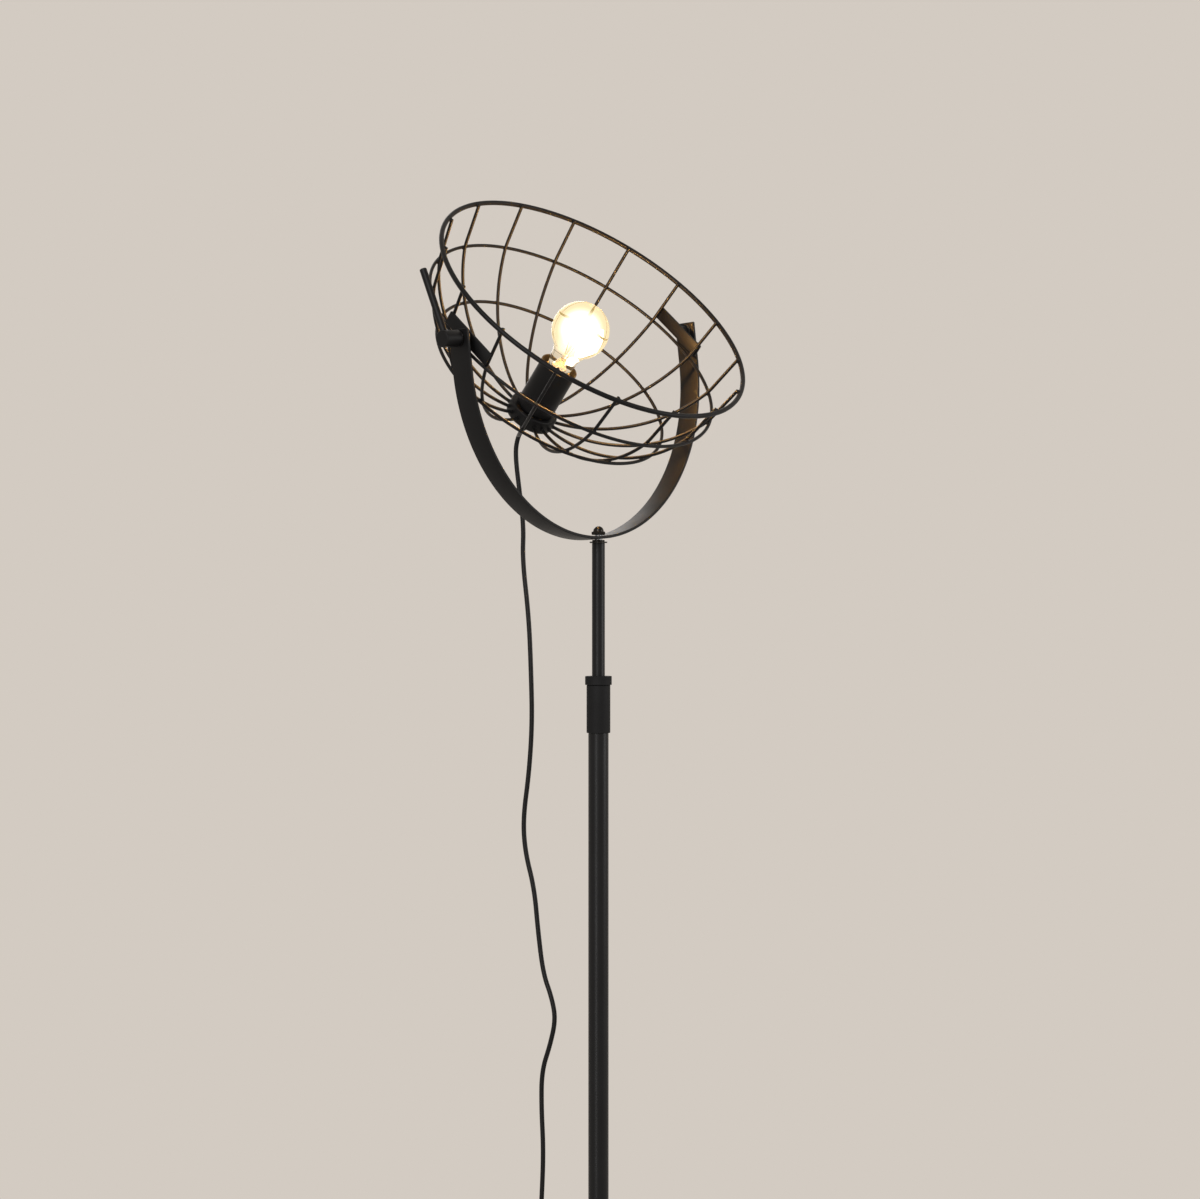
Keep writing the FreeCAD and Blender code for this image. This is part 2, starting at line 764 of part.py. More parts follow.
def make_holder_contact():
    """The brass strip under the bulb's tip: a foot, a bend and a springy tongue."""
    bottom = body_floor_top + press_gap
    top = bulb_tip - part_gap
    far = contact_length / 2.0
    outline = [
        V(-far, 0, bottom),
        V(far, 0, bottom),
        V(far, 0, top),
        V(-far, 0, top),
        V(-far, 0, top - contact_thickness),
        V(far - contact_thickness, 0, top - contact_thickness),
        V(far - contact_thickness, 0, bottom + contact_thickness),
        V(-far, 0, bottom + contact_thickness),
        V(-far, 0, bottom),
    ]
    strip = Part.Face(Part.makePolygon(outline)).extrude(V(0, contact_width, 0))
    strip.translate(V(0, -contact_width / 2.0, 0))
    return strip


def bulb_outline(inset):
    """The bulb's pear as a solid: a ball, a hollow neck curve and a taper into the cap."""
    ball = bulb_radius - inset
    neck = bulb_neck_radius - inset
    blend = bulb_neck_blend + inset
    reach = neck + blend
    drop = math.sqrt((ball + blend) ** 2 - reach ** 2)
    join = math.degrees(math.atan2(drop, reach))
    pairs = round_points(0, bulb_centre, ball, 90, -join, 2 * round_steps)
    pairs += round_points(reach, bulb_centre - drop, blend, 180 - join, 180, round_steps - 1)[1:]
    pairs += [(bulb_cap_radius - loose_gap - inset, bulb_cap_top), (0, bulb_cap_top)]
    return spun(pairs)


def make_bulb_glass():
    """The blown glass with its thin wall, closed at the bottom."""
    floor = rod(bulb_cap_radius, bulb_cap_top - 1, bulb_cap_top + bulb_glass_wall)
    return bulb_outline(0.0).cut(bulb_outline(bulb_glass_wall).cut(floor))


def make_bulb_cap():
    """The screw cap with its taper and tip."""
    top = bulb_cap_top - press_gap
    return spun([
        (0, bulb_tip),
        (bulb_tip_radius, bulb_tip),
        (bulb_tip_radius, bulb_cap_bottom),
        (bulb_cap_radius - bulb_cap_taper, bulb_cap_bottom),
        (bulb_cap_radius, bulb_cap_bottom + bulb_cap_taper),
        (bulb_cap_radius, top),
        (0, top),
    ])


def make_bulb_filament():
    """The glass stem, two support wires and the bright filament across them."""
    bottom = bulb_cap_top + bulb_glass_wall + press_gap
    flare_top = bottom + filament_flare_height
    top = bottom + filament_stem_height
    height = bulb_centre + filament_lift
    filament = cone(filament_flare_radius, filament_stem_radius, bottom, flare_top)
    filament = filament.fuse(rod(filament_stem_radius, flare_top, top))
    for side in (-1, 1):
        foot = V(side * filament_stem_radius / 2.0, 0, top - filament_stem_radius)
        reach = V(side * filament_half_span, 0, height) - foot
        filament = filament.fuse(Part.makeCylinder(filament_wire_radius, reach.Length, foot, reach))
    span = filament_half_span + filament_bar_radius
    bar = along_x(rod(filament_bar_radius, -span, span))
    bar.translate(V(0, 0, height))
    return filament.fuse(bar)


def make_cord_gland():
    """The tapered strain relief that leads the cord out of the crown."""
    body = cone(gland_tip_radius, gland_top_radius, gland_tip, crown_bottom - press_gap)
    neck = rod(nipple_bore - press_gap, crown_bottom - press_gap, crown_bottom + gland_sink)
    return body.fuse(neck)


# ---------------------------------------------------------------- cord

# The route runs from the gland to the floor: out along the gland, down beside the stem in the
# slow bows that the cord keeps from its packing, and away from the base onto the floor. Its
# last point and those behind the foot switch lie at the height of the switch's two ends.
gland_exit = cage_place.multVec(V(0, 0, gland_tip - part_gap))

cord_upper_points = [
    gland_exit,
    V(-10.7, 101.2, 1395.1),
    V(-9.8, 105.6, 1387.3),
    V(-9.0, 108.2, 1377.6),
    V(-8.0, 108.0, 1361.0),
    V(-10.0, 101.0, 1330.0),
    V(-13.0, 93.0, 1296.0),
    V(-15.0, 93.0, 1262.0),
]
cord_middle_points = [
    V(-18.0, 81.0, 1201.0),
    V(-20.0, 76.0, 1142.0),
    V(-20.0, 74.5, 1090.0),
    V(-20.0, 79.0, 1038.0),
    V(-20.0, 87.5, 990.0),
    V(-20.0, 84.5, 955.0),
    V(-20.0, 71.5, 918.0),
    V(-20.0, 66.0, 872.0),
]
cord_lower_points = [
    V(-20.0, 59.0, 830.0),
    V(-20.0, 47.0, 806.0),
    V(-20.0, 41.5, 784.0),
    V(-20.0, 49.0, 757.0),
    V(-20.0, 61.0, 728.0),
    V(-20.0, 61.5, 690.0),
    V(-20.0, 58.5, 645.0),
    V(-20.0, 61.0, 595.0),
    V(-20.0, 65.0, 540.0),
    V(-20.0, 70.0, 482.0),
    V(-20.0, 77.0, 422.0),
    V(-20.0, 85.0, 362.0),
    V(-20.0, 95.0, 304.0),
    V(-20.0, 107.0, 247.0),
    V(-20.0, 120.0, 192.0),
    V(-20.0, 134.0, 140.0),
    V(-20.0, 148.0, 94.0),
    V(-20.0, 162.0, 58.0),
    V(-20.0, 180.0, 28.0),
    V(-20.0, 204.0, 8.0),
    V(-20.0, 228.0, 3.0),
    V(-20.0, 247.0, switch_end_height),
    V(-20.0, 258.0, switch_end_height),
]
cord_tail_points = [
    V(-20.0, 372.0, switch_end_height),
    V(-20.0, 387.0, switch_end_height),
    V(-28.0, 401.0, 5.0),
    V(-42.0, 409.0, 3.5),
    V(-58.0, 409.0, 2.6),
    V(-72.0, 401.0, 2.5),
    V(-80.0, 387.0, 2.5),
    V(-80.0, 372.0, 2.5),
]
cord_upper_end = (cord_upper_points[-1] + cord_middle_points[0]) * 0.5
cord_middle_end = (cord_middle_points[-1] + cord_lower_points[0]) * 0.5
bend_share = 0.45


def faceted_section(centre, direction, upward, radius):
    """A many-sided section whose corners lie on the round cord's surface."""
    across = direction.cross(upward)
    points = []
    for index in range(wire_sides + 1):
        turn = 2 * math.pi * (index + 0.5) / wire_sides
        points.append(centre + upward * (radius * math.cos(turn)) + across * (radius * math.sin(turn)))
    return Part.makePolygon(points)


def corner_arc(start, corner, end):
    """The arc between two points that are equally far from the corner of its tangents."""
    before = unit(start - corner)
    after = unit(end - corner)
    reach = (start - corner).Length
    half_turn = (math.pi - before.getAngle(after)) / 2.0
    radius = reach / math.tan(half_turn)
    middle = corner + unit(before + after) * (math.hypot(radius, reach) - radius)
    return Part.Arc(start, middle, end).toShape(), radius


def round_path(points, name):
    """Straight runs joined by tangent arcs, each as large as its two runs allow."""
    edges = []
    radii = []
    start = points[0]
    for index in range(1, len(points) - 1):
        before = points[index - 1] - points[index]
        after = points[index + 1] - points[index]
        reach = bend_share * min(before.Length, after.Length)
        leave = points[index] + unit(before) * reach
        arrive = points[index] + unit(after) * reach
        arc, radius = corner_arc(leave, points[index], arrive)
        edges.append(Part.makeLine(start, leave))
        edges.append(arc)
        radii.append(round(radius))
        start = arrive
    edges.append(Part.makeLine(start, points[-1]))
    print(name, "bend radii", radii)
    return Part.Wire(edges)


def make_cord(points, name):
    """A cord along the points, with its volume compared with section times length."""
    path = round_path(points, name)
    way = unit(points[1] - points[0])
    section = faceted_section(points[0], way, unit(way.cross(X_AXIS)), cord_radius)
    cord = swept(path, section)
    expected = Part.Face(section).Area * path.Length
    print(name, "length", round(path.Length, 1), "volume ratio", round(cord.Volume / expected, 4))
    return cord


def make_cord_upper():
    return make_cord(cord_upper_points + [cord_upper_end], "cord_upper")


def make_cord_middle():
    return make_cord([cord_upper_end] + cord_middle_points + [cord_middle_end], "cord_middle")


def make_cord_lower():
    return make_cord([cord_middle_end] + cord_lower_points, "cord_lower")


def make_cord_tail():
    return make_cord(cord_tail_points, "cord_tail")


# ---------------------------------------------------------------- wound pieces


def biarc(start, start_way, end, end_way):
    """Two arcs that leave along one direction and arrive along the other."""
    gap = end - start
    ways = start_way + end_way
    spread = 2.0 * (1.0 - start_way.dot(end_way))
    reach = (math.sqrt(gap.dot(ways) ** 2 + spread * gap.dot(gap)) - gap.dot(ways)) / spread
    first = start + start_way * reach
    second = end - end_way * reach
    middle = (first + second) * 0.5
    return [corner_arc(start, first, middle)[0], corner_arc(middle, second, end)[0]]


def wound_edges(point_at, way_at, turns, steps_per_turn):
    """The arcs of a wound line from its point and direction at each turn count."""
    edges = []
    steps = round(turns * steps_per_turn)
    for step in range(steps):
        now = step / steps_per_turn
        after = (step + 1) / steps_per_turn
        edges += biarc(point_at(now), way_at(now), point_at(after), way_at(after))
    return edges


def least_gap(point_at, turns, thickness):
    """The least gap between a wound line's turns, measured on points of its line."""
    count = round(turns * 48)
    points = [point_at(index * turns / count) for index in range(count + 1)]
    nearest = min(
        (points[i] - points[j]).Length
        for i in range(count + 1)
        for j in range(i + 24, count + 1)
    )
    return nearest - thickness


# The coil spirals in on the floor, climbs in the half turn where the spiral turns round, and
# spirals out again on top, clockwise seen from above.
coil_start = cord_tail_points[-1]
coil_outer_radius = coil_inner_radius + coil_turns_in * coil_pitch
coil_turns = coil_turns_in + coil_turns_out
coil_centre = coil_start + V(-coil_outer_radius, -2.0 * cord_radius, 0)
coil_climb_start = coil_turns_in - 0.25


def coil_level(turn):
    """How far the coil has climbed to its upper layer, from 0 to 1."""
    return min(max((turn - coil_climb_start) * 2.0, 0.0), 1.0)


def coil_point(turn):
    radius = coil_inner_radius + coil_pitch * abs(turn - coil_turns_in)
    angle = -2.0 * math.pi * turn
    flat = V(radius * math.cos(angle), radius * math.sin(angle), coil_pitch * coil_level(turn))
    return coil_centre + flat


def coil_way(turn):
    """The coil's direction, with its drift in or out and its climb."""
    radius = coil_inner_radius + coil_pitch * abs(turn - coil_turns_in)
    angle = -2.0 * math.pi * turn
    side = turn - coil_turns_in
    drift = 0.0 if turn in (0, coil_turns_in, coil_turns) else math.copysign(coil_pitch, side)
    climb = 2.0 * coil_pitch if side == 0 else 0.0
    around = V(math.sin(angle), -math.cos(angle), 0) * (2.0 * math.pi * radius)
    outward = V(math.cos(angle), math.sin(angle), 0) * drift
    return unit(around + outward + V(0, 0, climb))


def make_cord_coil():
    """The put-away length: one unbroken cord with a straight lead in and out."""
    last = coil_point(coil_turns)
    edges = [Part.makeLine(coil_start, coil_point(0))]
    edges += wound_edges(coil_point, coil_way, coil_turns, 4)
    edges.append(Part.makeLine(last, last + V(-coil_lead, 0, 0)))
    path = Part.Wire(edges)
    section = faceted_section(coil_start, Y_AXIS * -1, Z_AXIS, cord_radius)
    print("cord_coil length", round(path.Length, 1),
          "least gap", round(least_gap(coil_point, coil_turns, 2 * cord_radius), 2))
    return swept(path, section)


# ---------------------------------------------------------------- foot switch

switch_y = (cord_lower_points[-1].y + cord_tail_points[0].y) / 2.0
switch_x = cord_tail_points[0].x
switch_place = FreeCAD.Placement(V(switch_x, switch_y, 0), FreeCAD.Rotation())
switch_half_length = switch_length / 2.0
switch_split = switch_height * 0.55
button_flange_top = switch_height - switch_wall - loose_gap
button_flange_bottom = button_flange_top - button_flange_thickness


def rounded_block(length, width, bottom, top, corner):
    """A block along Y with upright rounded corners."""
    block = Part.makeBox(width, length, top - bottom, V(-width / 2.0, -length / 2.0, bottom))
    uprights = [e for e in block.Edges if e.BoundBox.ZLength > top - bottom - 1e-6]
    return block.makeFillet(corner, uprights)


def switch_shell():
    """The whole housing before it is parted into base and cover."""
    outer = rounded_block(switch_length, switch_width, 0, switch_height, switch_corner)
    rims = [e for e in outer.Edges if e.BoundBox.ZMin > switch_height - 1e-6]
    outer = outer.makeChamfer(switch_edge, rims)
    inner = rounded_block(
        switch_length - 2 * switch_wall, switch_width - 2 * switch_wall,
        switch_floor, switch_height - switch_wall, switch_corner - switch_wall)
    shell = outer.cut(inner)
    roof_inside = switch_height - switch_wall
    shell = shell.cut(rod(switch_button_radius + running_gap, roof_inside - 1, switch_height + 1))
    holes = rod(relief_neck_radius + press_gap, -switch_length, switch_length)
    holes.Placement = FreeCAD.Placement(V(0, 0, switch_end_height), FreeCAD.Rotation(X_AXIS, 90))
    return shell.cut(holes)


def make_switch_base():
    corner = V(-switch_length, -switch_length, 0)
    return switch_shell().common(Part.makeBox(2 * switch_length, 2 * switch_length, switch_split, corner))


def make_switch_cover():
    corner = V(-switch_length, -switch_length, switch_split + press_gap)
    return switch_shell().common(Part.makeBox(2 * switch_length, 2 * switch_length, switch_height, corner))


def make_switch_button():
    """The round foot button, with the flange that keeps it in the cover."""
    top = switch_height + switch_button_proud
    stem = rod(switch_button_radius, button_flange_top - 1, top)
    rims = [e for e in stem.Edges if e.BoundBox.ZMin > top - 1e-6]
    stem = stem.makeChamfer(switch_edge, rims)
    return stem.fuse(rod(button_flange_radius, button_flange_bottom, button_flange_top))


def spring_point(turn):
    angle = 2.0 * math.pi * turn
    rise = spring_bottom + turn * spring_pitch
    return V(spring_radius * math.cos(angle), spring_radius * math.sin(angle), rise)


def spring_way(turn):
    angle = 2.0 * math.pi * turn
    around = V(-math.sin(angle), math.cos(angle), 0) * (2.0 * math.pi * spring_radius)
    return unit(around + V(0, 0, spring_pitch))


spring_bottom = switch_floor + spring_wire_radius + part_gap
spring_top = button_flange_bottom - spring_wire_radius - part_gap
spring_pitch = (spring_top - spring_bottom) / spring_turns


def make_switch_spring():
    """The coil spring between the switch's floor and its button."""
    path = Part.Wire(wound_edges(spring_point, spring_way, spring_turns, 4))
    section = faceted_section(spring_point(0), spring_way(0), X_AXIS, spring_wire_radius)
    return swept(path, section)


def make_switch_reliefs():
    """The two rubber sleeves that hold the cord in the switch's ends."""
    neck = relief_neck_radius
    inner_end = switch_half_length - switch_wall - relief_collar_length
    sleeve = rod(relief_collar_radius, inner_end, switch_half_length - switch_wall - press_gap)
    sleeve = sleeve.fuse(rod(neck, inner_end, switch_half_length + press_gap))
    start = switch_half_length + press_gap
    tip = switch_half_length + switch_relief_length
    sleeve = sleeve.fuse(cone(relief_root_radius, relief_tip_radius, start, tip))
    sleeves = []
    for turn in (90, -90):
        place = FreeCAD.Placement(V(0, 0, switch_end_height), FreeCAD.Rotation(X_AXIS, turn))
        sleeves.append(placed(sleeve, place))
    return Part.makeCompound(sleeves)


# ---------------------------------------------------------------- plug

plug_start = coil_point(coil_turns) + V(-coil_lead, 0, 0)
plug_place = FreeCAD.Placement(plug_start, FreeCAD.Rotation(Y_AXIS, -90))


def make_plug_body():
    """The flat moulded plug with its tapered strain relief, drawn along Z from the relief's tip."""
    grip_top = plug_relief_length + plug_grip_length
    top = grip_top + plug_face_length
    relief = cone(relief_tip_radius, relief_root_radius, 0, plug_relief_length + 1.0)
    half = plug_width / 2.0
    waist = plug_waist / 2.0
    outline = [
        V(0, -waist, plug_relief_length),
        V(0, waist, plug_relief_length),
        V(0, half, grip_top),
        V(0, half, top),
        V(0, -half, top),
        V(0, -half, grip_top),
        V(0, -waist, plug_relief_length),
    ]
    body = Part.Face(Part.makePolygon(outline)).extrude(V(plug_depth, 0, 0))
    body.translate(V(-plug_start.z, 0, 0))
    sides = [e for e in body.Edges if e.BoundBox.XLength > plug_depth - 1e-6]
    body = body.makeFillet(plug_round, sides)
    return body.fuse(relief)


def make_plug_pins():
    """The two round pins, each set a little way into the body's face."""
    bottom = plug_relief_length + plug_grip_length + plug_face_length + press_gap
    pins = []
    for side in (-1, 1):
        pin = rod(plug_pin_radius, bottom, bottom + plug_pin_length)
        tips = [e for e in pin.Edges if e.BoundBox.ZMin > bottom + plug_pin_length - 1e-6]
        pin = pin.makeChamfer(plug_pin_edge, tips)
        pin.translate(V(plug_depth / 2.0 - plug_start.z, side * plug_pin_spacing / 2.0, 0))
        pins.append(pin)
    return Part.makeCompound(pins)


# ---------------------------------------------------------------- nodes

AS_BUILT = FreeCAD.Placement()


def both_pivots(make):
    """The same piece at the right pivot and mirrored at the left one."""
    piece = make()
    return Part.makeCompound([piece, mirrored(piece)])


def part_nodes():
    """Every node's name, its shape and the frame that it was drawn in."""
    yield "base_pad", make_base_pad(), AS_BUILT
    yield "base_weight", make_base_weight(), AS_BUILT
    yield "base_cover", make_base_cover(), AS_BUILT
    yield "base_bolt", make_base_bolt(), AS_BUILT
    yield "tube_foot_plug", make_tube_foot(), AS_BUILT
    yield "tube_seat_ring", make_tube_ring(), AS_BUILT
    yield "lower_tube", make_lower_tube(), AS_BUILT
    yield "collar_body", make_collar_body(), AS_BUILT
    yield "collar_collet", make_collar_collet(), AS_BUILT
    yield "collar_ring", make_collar_ring(), AS_BUILT
    yield "inner_tube", make_inner_tube(), AS_BUILT
    yield "guide_bush", make_guide_bush(), AS_BUILT
    yield "mast_stud", make_mast_stud(), AS_BUILT
    yield "stem_washer", make_stem_washer(), AS_BUILT
    yield "lock_washer", make_lock_washer(), AS_BUILT
    yield "dome_nut", make_dome_nut(), AS_BUILT
    yield "yoke_bracket", make_yoke_bracket(), bracket_place
    yield "friction_washers", both_pivots(make_friction_washer), bracket_place
    yield "pivot_outer_washers", both_pivots(make_outer_washer), bracket_place
    yield "cage_rim", make_cage_rim(), cage_place
    yield "cage_ring_upper", make_hoop(upper_ring_angle), cage_place
    yield "cage_ring_lower", make_hoop(lower_ring_angle), cage_place
    for number in range(rib_count // 2):
        yield f"cage_rib_pair_{number + 1}", make_rib_pair(number), cage_place
    yield "pivot_plate_right", make_pivot_plate(), cage_place
    yield "pivot_plate_left", mirrored(make_pivot_plate()), cage_place
    yield "pivot_spacers", both_pivots(make_pivot_spacer), cage_place
    yield "pivot_screw", make_pivot_screw(), cage_place
    yield "cage_crown", make_crown(), cage_place
    yield "holder_cup", make_holder_cup(), cage_place
    yield "holder_body", make_holder_body(), cage_place
    yield "holder_shell", make_holder_shell(), cage_place
    yield "holder_contact", make_holder_contact(), cage_place
    yield "lamp_nipple", make_lamp_nipple(), cage_place
    yield "nipple_nut", make_nipple_nut(), cage_place
    yield "bulb_glass", make_bulb_glass(), cage_place
    yield "bulb_cap", make_bulb_cap(), cage_place
    yield "bulb_filament", make_bulb_filament(), cage_place
    yield "cord_gland", make_cord_gland(), cage_place
    yield "lever_hub", make_lever_hub(), bracket_place
    yield "lever_bar", make_lever_bar(), bracket_place
    yield "lever_stud", make_lever_stud(), bracket_place
    yield "cord_upper", make_cord_upper(), AS_BUILT
    yield "cord_middle", make_cord_middle(), AS_BUILT
    yield "cord_lower", make_cord_lower(), AS_BUILT
    yield "cord_tail", make_cord_tail(), AS_BUILT
    yield "cord_coil", make_cord_coil(), AS_BUILT
    yield "switch_base", make_switch_base(), switch_place
    yield "switch_cover", make_switch_cover(), switch_place
    yield "switch_button", make_switch_button(), switch_place
    yield "switch_spring", make_switch_spring(), switch_place
    yield "switch_reliefs", make_switch_reliefs(), switch_place
    yield "plug_body", make_plug_body(), plug_place
    yield "plug_pins", make_plug_pins(), plug_place


def solids_only(shape):
    """One solid, or a group of solids when a node holds several equal pieces."""
    solids = shape.Solids
    return solids[0] if len(solids) == 1 else Part.makeCompound(solids)


os.makedirs("parts", exist_ok=True)
for node, shape, frame in part_nodes():
    body = solids_only(placed(shape, frame))
    if not body.isValid() or body.Volume <= 0:
        print("invalid", node)
    body.exportStep(f"parts/{node}.step")
print("pivot", bracket_place.Base, "half width", round(bracket_half_width, 3))
print("pivot axis", lean.multVec(X_AXIS), "cage axis", cage_place.Rotation.multVec(Z_AXIS))
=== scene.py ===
import math

import bmesh
import bpy
from mathutils import Matrix, Vector


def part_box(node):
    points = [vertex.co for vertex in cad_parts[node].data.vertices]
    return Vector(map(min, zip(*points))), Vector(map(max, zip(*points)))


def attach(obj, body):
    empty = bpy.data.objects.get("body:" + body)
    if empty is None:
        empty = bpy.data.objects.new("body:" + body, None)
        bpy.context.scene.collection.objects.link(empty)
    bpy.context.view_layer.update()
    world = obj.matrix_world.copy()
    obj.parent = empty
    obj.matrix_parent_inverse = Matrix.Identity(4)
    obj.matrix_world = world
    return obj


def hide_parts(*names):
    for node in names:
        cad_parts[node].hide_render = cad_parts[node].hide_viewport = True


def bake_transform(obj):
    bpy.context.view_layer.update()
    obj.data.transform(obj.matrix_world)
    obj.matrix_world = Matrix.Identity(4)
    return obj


# Wire cage floor lamp. Sizes are written in millimetres, as in a maker's drawing, and turned to
# metres by mm(). The bracket frame and the cage frame have their origin at the pivots.

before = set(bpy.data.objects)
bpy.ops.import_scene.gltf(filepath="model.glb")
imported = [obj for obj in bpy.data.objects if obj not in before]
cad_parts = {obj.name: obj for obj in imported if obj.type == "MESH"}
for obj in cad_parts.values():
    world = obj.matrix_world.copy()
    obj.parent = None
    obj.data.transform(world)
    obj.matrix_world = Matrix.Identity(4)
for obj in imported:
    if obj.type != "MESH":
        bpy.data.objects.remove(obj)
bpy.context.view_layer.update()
UPRIGHT = Matrix.Identity(4)


def mm(value):
    return value / 1000.0


def turn_by(degrees, axis):
    return Matrix.Rotation(math.radians(degrees), 4, axis)


def move_by(x, y, z):
    """A move whose sizes are in millimetres."""
    return Matrix.Translation((mm(x), mm(y), mm(z)))


# ---------------------------------------------------------------- frames

SEAT_HEIGHT = 1284.0
PIVOT_RISE = 210.3
HEAD_TILT = 45.5
BALL_HEIGHT = 5.5
LEAN = turn_by(-5.5, "Y") @ turn_by(-2.8, "X")
PIVOT = Vector((0.0, 0.0, mm(SEAT_HEIGHT))) + LEAN @ Vector((0.0, 0.0, mm(PIVOT_RISE)))
BRACKET = Matrix.Translation(PIVOT) @ LEAN
CAGE = BRACKET @ turn_by(HEAD_TILT, "X")
BULB_AXIS = (CAGE.to_3x3() @ Vector((0.0, 0.0, 1.0))).normalized()
BULB_MIDDLE = CAGE @ Vector((0.0, 0.0, mm(BALL_HEIGHT)))


# ---------------------------------------------------------------- camera and light


def add_camera():
    """The photograph's view: level, from the front left, at the height of the upper stem."""
    data = bpy.data.cameras.new("camera")
    data.sensor_width = 36.0
    data.lens = 79.08
    camera = bpy.data.objects.new("camera", data)
    camera.location = (-2.0579, -1.7879, 1.220)
    camera.rotation_euler = (math.radians(90.0), 0.0, math.radians(-49.05))
    bpy.context.collection.objects.link(camera)
    bpy.context.scene.camera = camera


def add_softbox(name, place, target, width, height, power, colour=(1.0, 1.0, 1.0)):
    """A soft studio lamp that faces a point of the object."""
    data = bpy.data.lights.new(name, "AREA")
    data.shape = "RECTANGLE"
    data.size = width
    data.size_y = height
    data.energy = power
    data.color = colour
    lamp = bpy.data.objects.new(name, data)
    lamp.location = place
    lamp.rotation_euler = (Vector(target) - Vector(place)).to_track_quat("-Z", "Y").to_euler()
    lamp.visible_camera = False
    bpy.context.collection.objects.link(lamp)


# ---------------------------------------------------------------- node trees


def add(tree, kind, inputs=None, **settings):
    """Adds a node with its settings; an input is a value, a socket, or a node for its first output."""
    node = tree.nodes.new(kind)
    for name, value in settings.items():
        setattr(node, name, value)
    for name, value in (inputs or {}).items():
        if isinstance(value, bpy.types.Node):
            value = value.outputs[0]
        if isinstance(value, bpy.types.NodeSocket):
            tree.links.new(value, node.inputs[name])
        else:
            node.inputs[name].default_value = value
    return node


def linear(code):
    """An sRGB hex colour as linear red, green, blue and alpha."""
    parts = [int(code[i:i + 2], 16) / 255.0 for i in (1, 3, 5)]
    return [p / 12.92 if p <= 0.04045 else ((p + 0.055) / 1.055) ** 2.4 for p in parts] + [1.0]


def per(size):
    """The texture scale at which one feature is this many millimetres wide."""
    return 1000.0 / size


def new_material(name, colour, **sockets):
    """A material, its node tree and the socket of the object's own coordinates."""
    material = bpy.data.materials.new(name)
    material.use_nodes = True
    tree = material.node_tree
    surface = tree.nodes["Principled BSDF"]
    surface.inputs["Base Color"].default_value = linear(colour)
    for socket, value in sockets.items():
        surface.inputs[socket.replace("_", " ")].default_value = value
    return material, tree, add(tree, "ShaderNodeTexCoord").outputs["Object"]


def varied(material, tone=None, rough=None, relief=None):
    """The material with its patterns: two tones, two roughnesses, and relief of a strength and a depth."""
    tree = material.node_tree
    surface = tree.nodes["Principled BSDF"].inputs
    if tone:
        pattern, dark, light = tone
        mix = add(tree, "ShaderNodeMix", {0: pattern, 6: linear(dark), 7: linear(light)}, data_type="RGBA")
        tree.links.new(mix.outputs[2], surface["Base Color"])
    if rough:
        pattern, low, high = rough
        spread = add(tree, "ShaderNodeMapRange", {"Value": pattern, "To Min": low, "To Max": high})
        tree.links.new(spread.outputs[0], surface["Roughness"])
    if relief:
        pattern, strength, depth = relief
        bump = add(tree, "ShaderNodeBump", {"Height": pattern, "Strength": strength, "Distance": mm(depth)})
        tree.links.new(bump.outputs[0], surface["Normal"])
    return material


# ---------------------------------------------------------------- materials


def make_powder_coat():
    """Black polyester powder, sprayed and baked: matt, with a fine pebbled grain and soft highlights."""
    material, tree, place = new_material("powder_coat_matt_black", "#0c0c0d", Roughness=0.5,
                                         Specular_IOR_Level=0.18)
    grain = add(tree, "ShaderNodeTexNoise", {"Vector": place, "Scale": per(0.9), "Detail": 3.0})
    cloud = add(tree, "ShaderNodeTexNoise", {"Vector": place, "Scale": per(28.0), "Detail": 2.0})
    both = add(tree, "ShaderNodeMath", {0: grain, 1: cloud}, operation="MULTIPLY")
    return varied(material, (both, "#080809", "#131314"), (cloud, 0.4, 0.52), (grain, 0.15, 0.02))


def make_tube_enamel():
    """Satin black enamel on drawn steel tube: long upright highlights over faint draw lines."""
    material, tree, place = new_material("enamel_satin_black", "#0c0c0d", Roughness=0.34,
                                         Specular_IOR_Level=0.2)
    drawn = add(tree, "ShaderNodeMapping", {"Vector": place, "Scale": (1.0, 1.0, 0.02)})
    lines = add(tree, "ShaderNodeTexNoise", {"Vector": drawn, "Scale": per(0.7), "Detail": 3.0})
    cloud = add(tree, "ShaderNodeTexNoise", {"Vector": place, "Scale": per(40.0), "Detail": 2.0})
    return varied(material, (cloud, "#0b0b0c", "#151516"), (lines, 0.27, 0.42), (lines, 0.3, 0.02))


def make_black_nickel():
    """Black nickel plate on turned steel: dark, bright-edged, with fine turning rings."""
    material, tree, place = new_material("black_nickel_plate", "#2c2b2a", Metallic=1.0, Roughness=0.22)
    rings = add(tree, "ShaderNodeTexNoise", {"Vector": place, "Scale": per(0.5), "Detail": 2.0})
    smear = add(tree, "ShaderNodeTexNoise", {"Vector": place, "Scale": per(5.0), "Detail": 3.0})
    return varied(material, (smear, "#232221", "#373532"), (smear, 0.15, 0.34), (rings, 0.2, 0.01))


def make_moulded_plastic():
    """Black ABS from a spark-eroded mould: dull, with a sandy grain that greys the highlights."""
    material, tree, place = new_material("abs_moulded_black", "#0e0e0f", Roughness=0.62,
                                         Specular_IOR_Level=0.18)
    sand = add(tree, "ShaderNodeTexVoronoi", {"Vector": place, "Scale": per(0.55), "Randomness": 1.0})
    cloud = add(tree, "ShaderNodeTexNoise", {"Vector": place, "Scale": per(12.0), "Detail": 3.0})
    return varied(material, (cloud, "#0a0a0b", "#141415"), (sand, 0.55, 0.72), (sand, 0.45, 0.05))


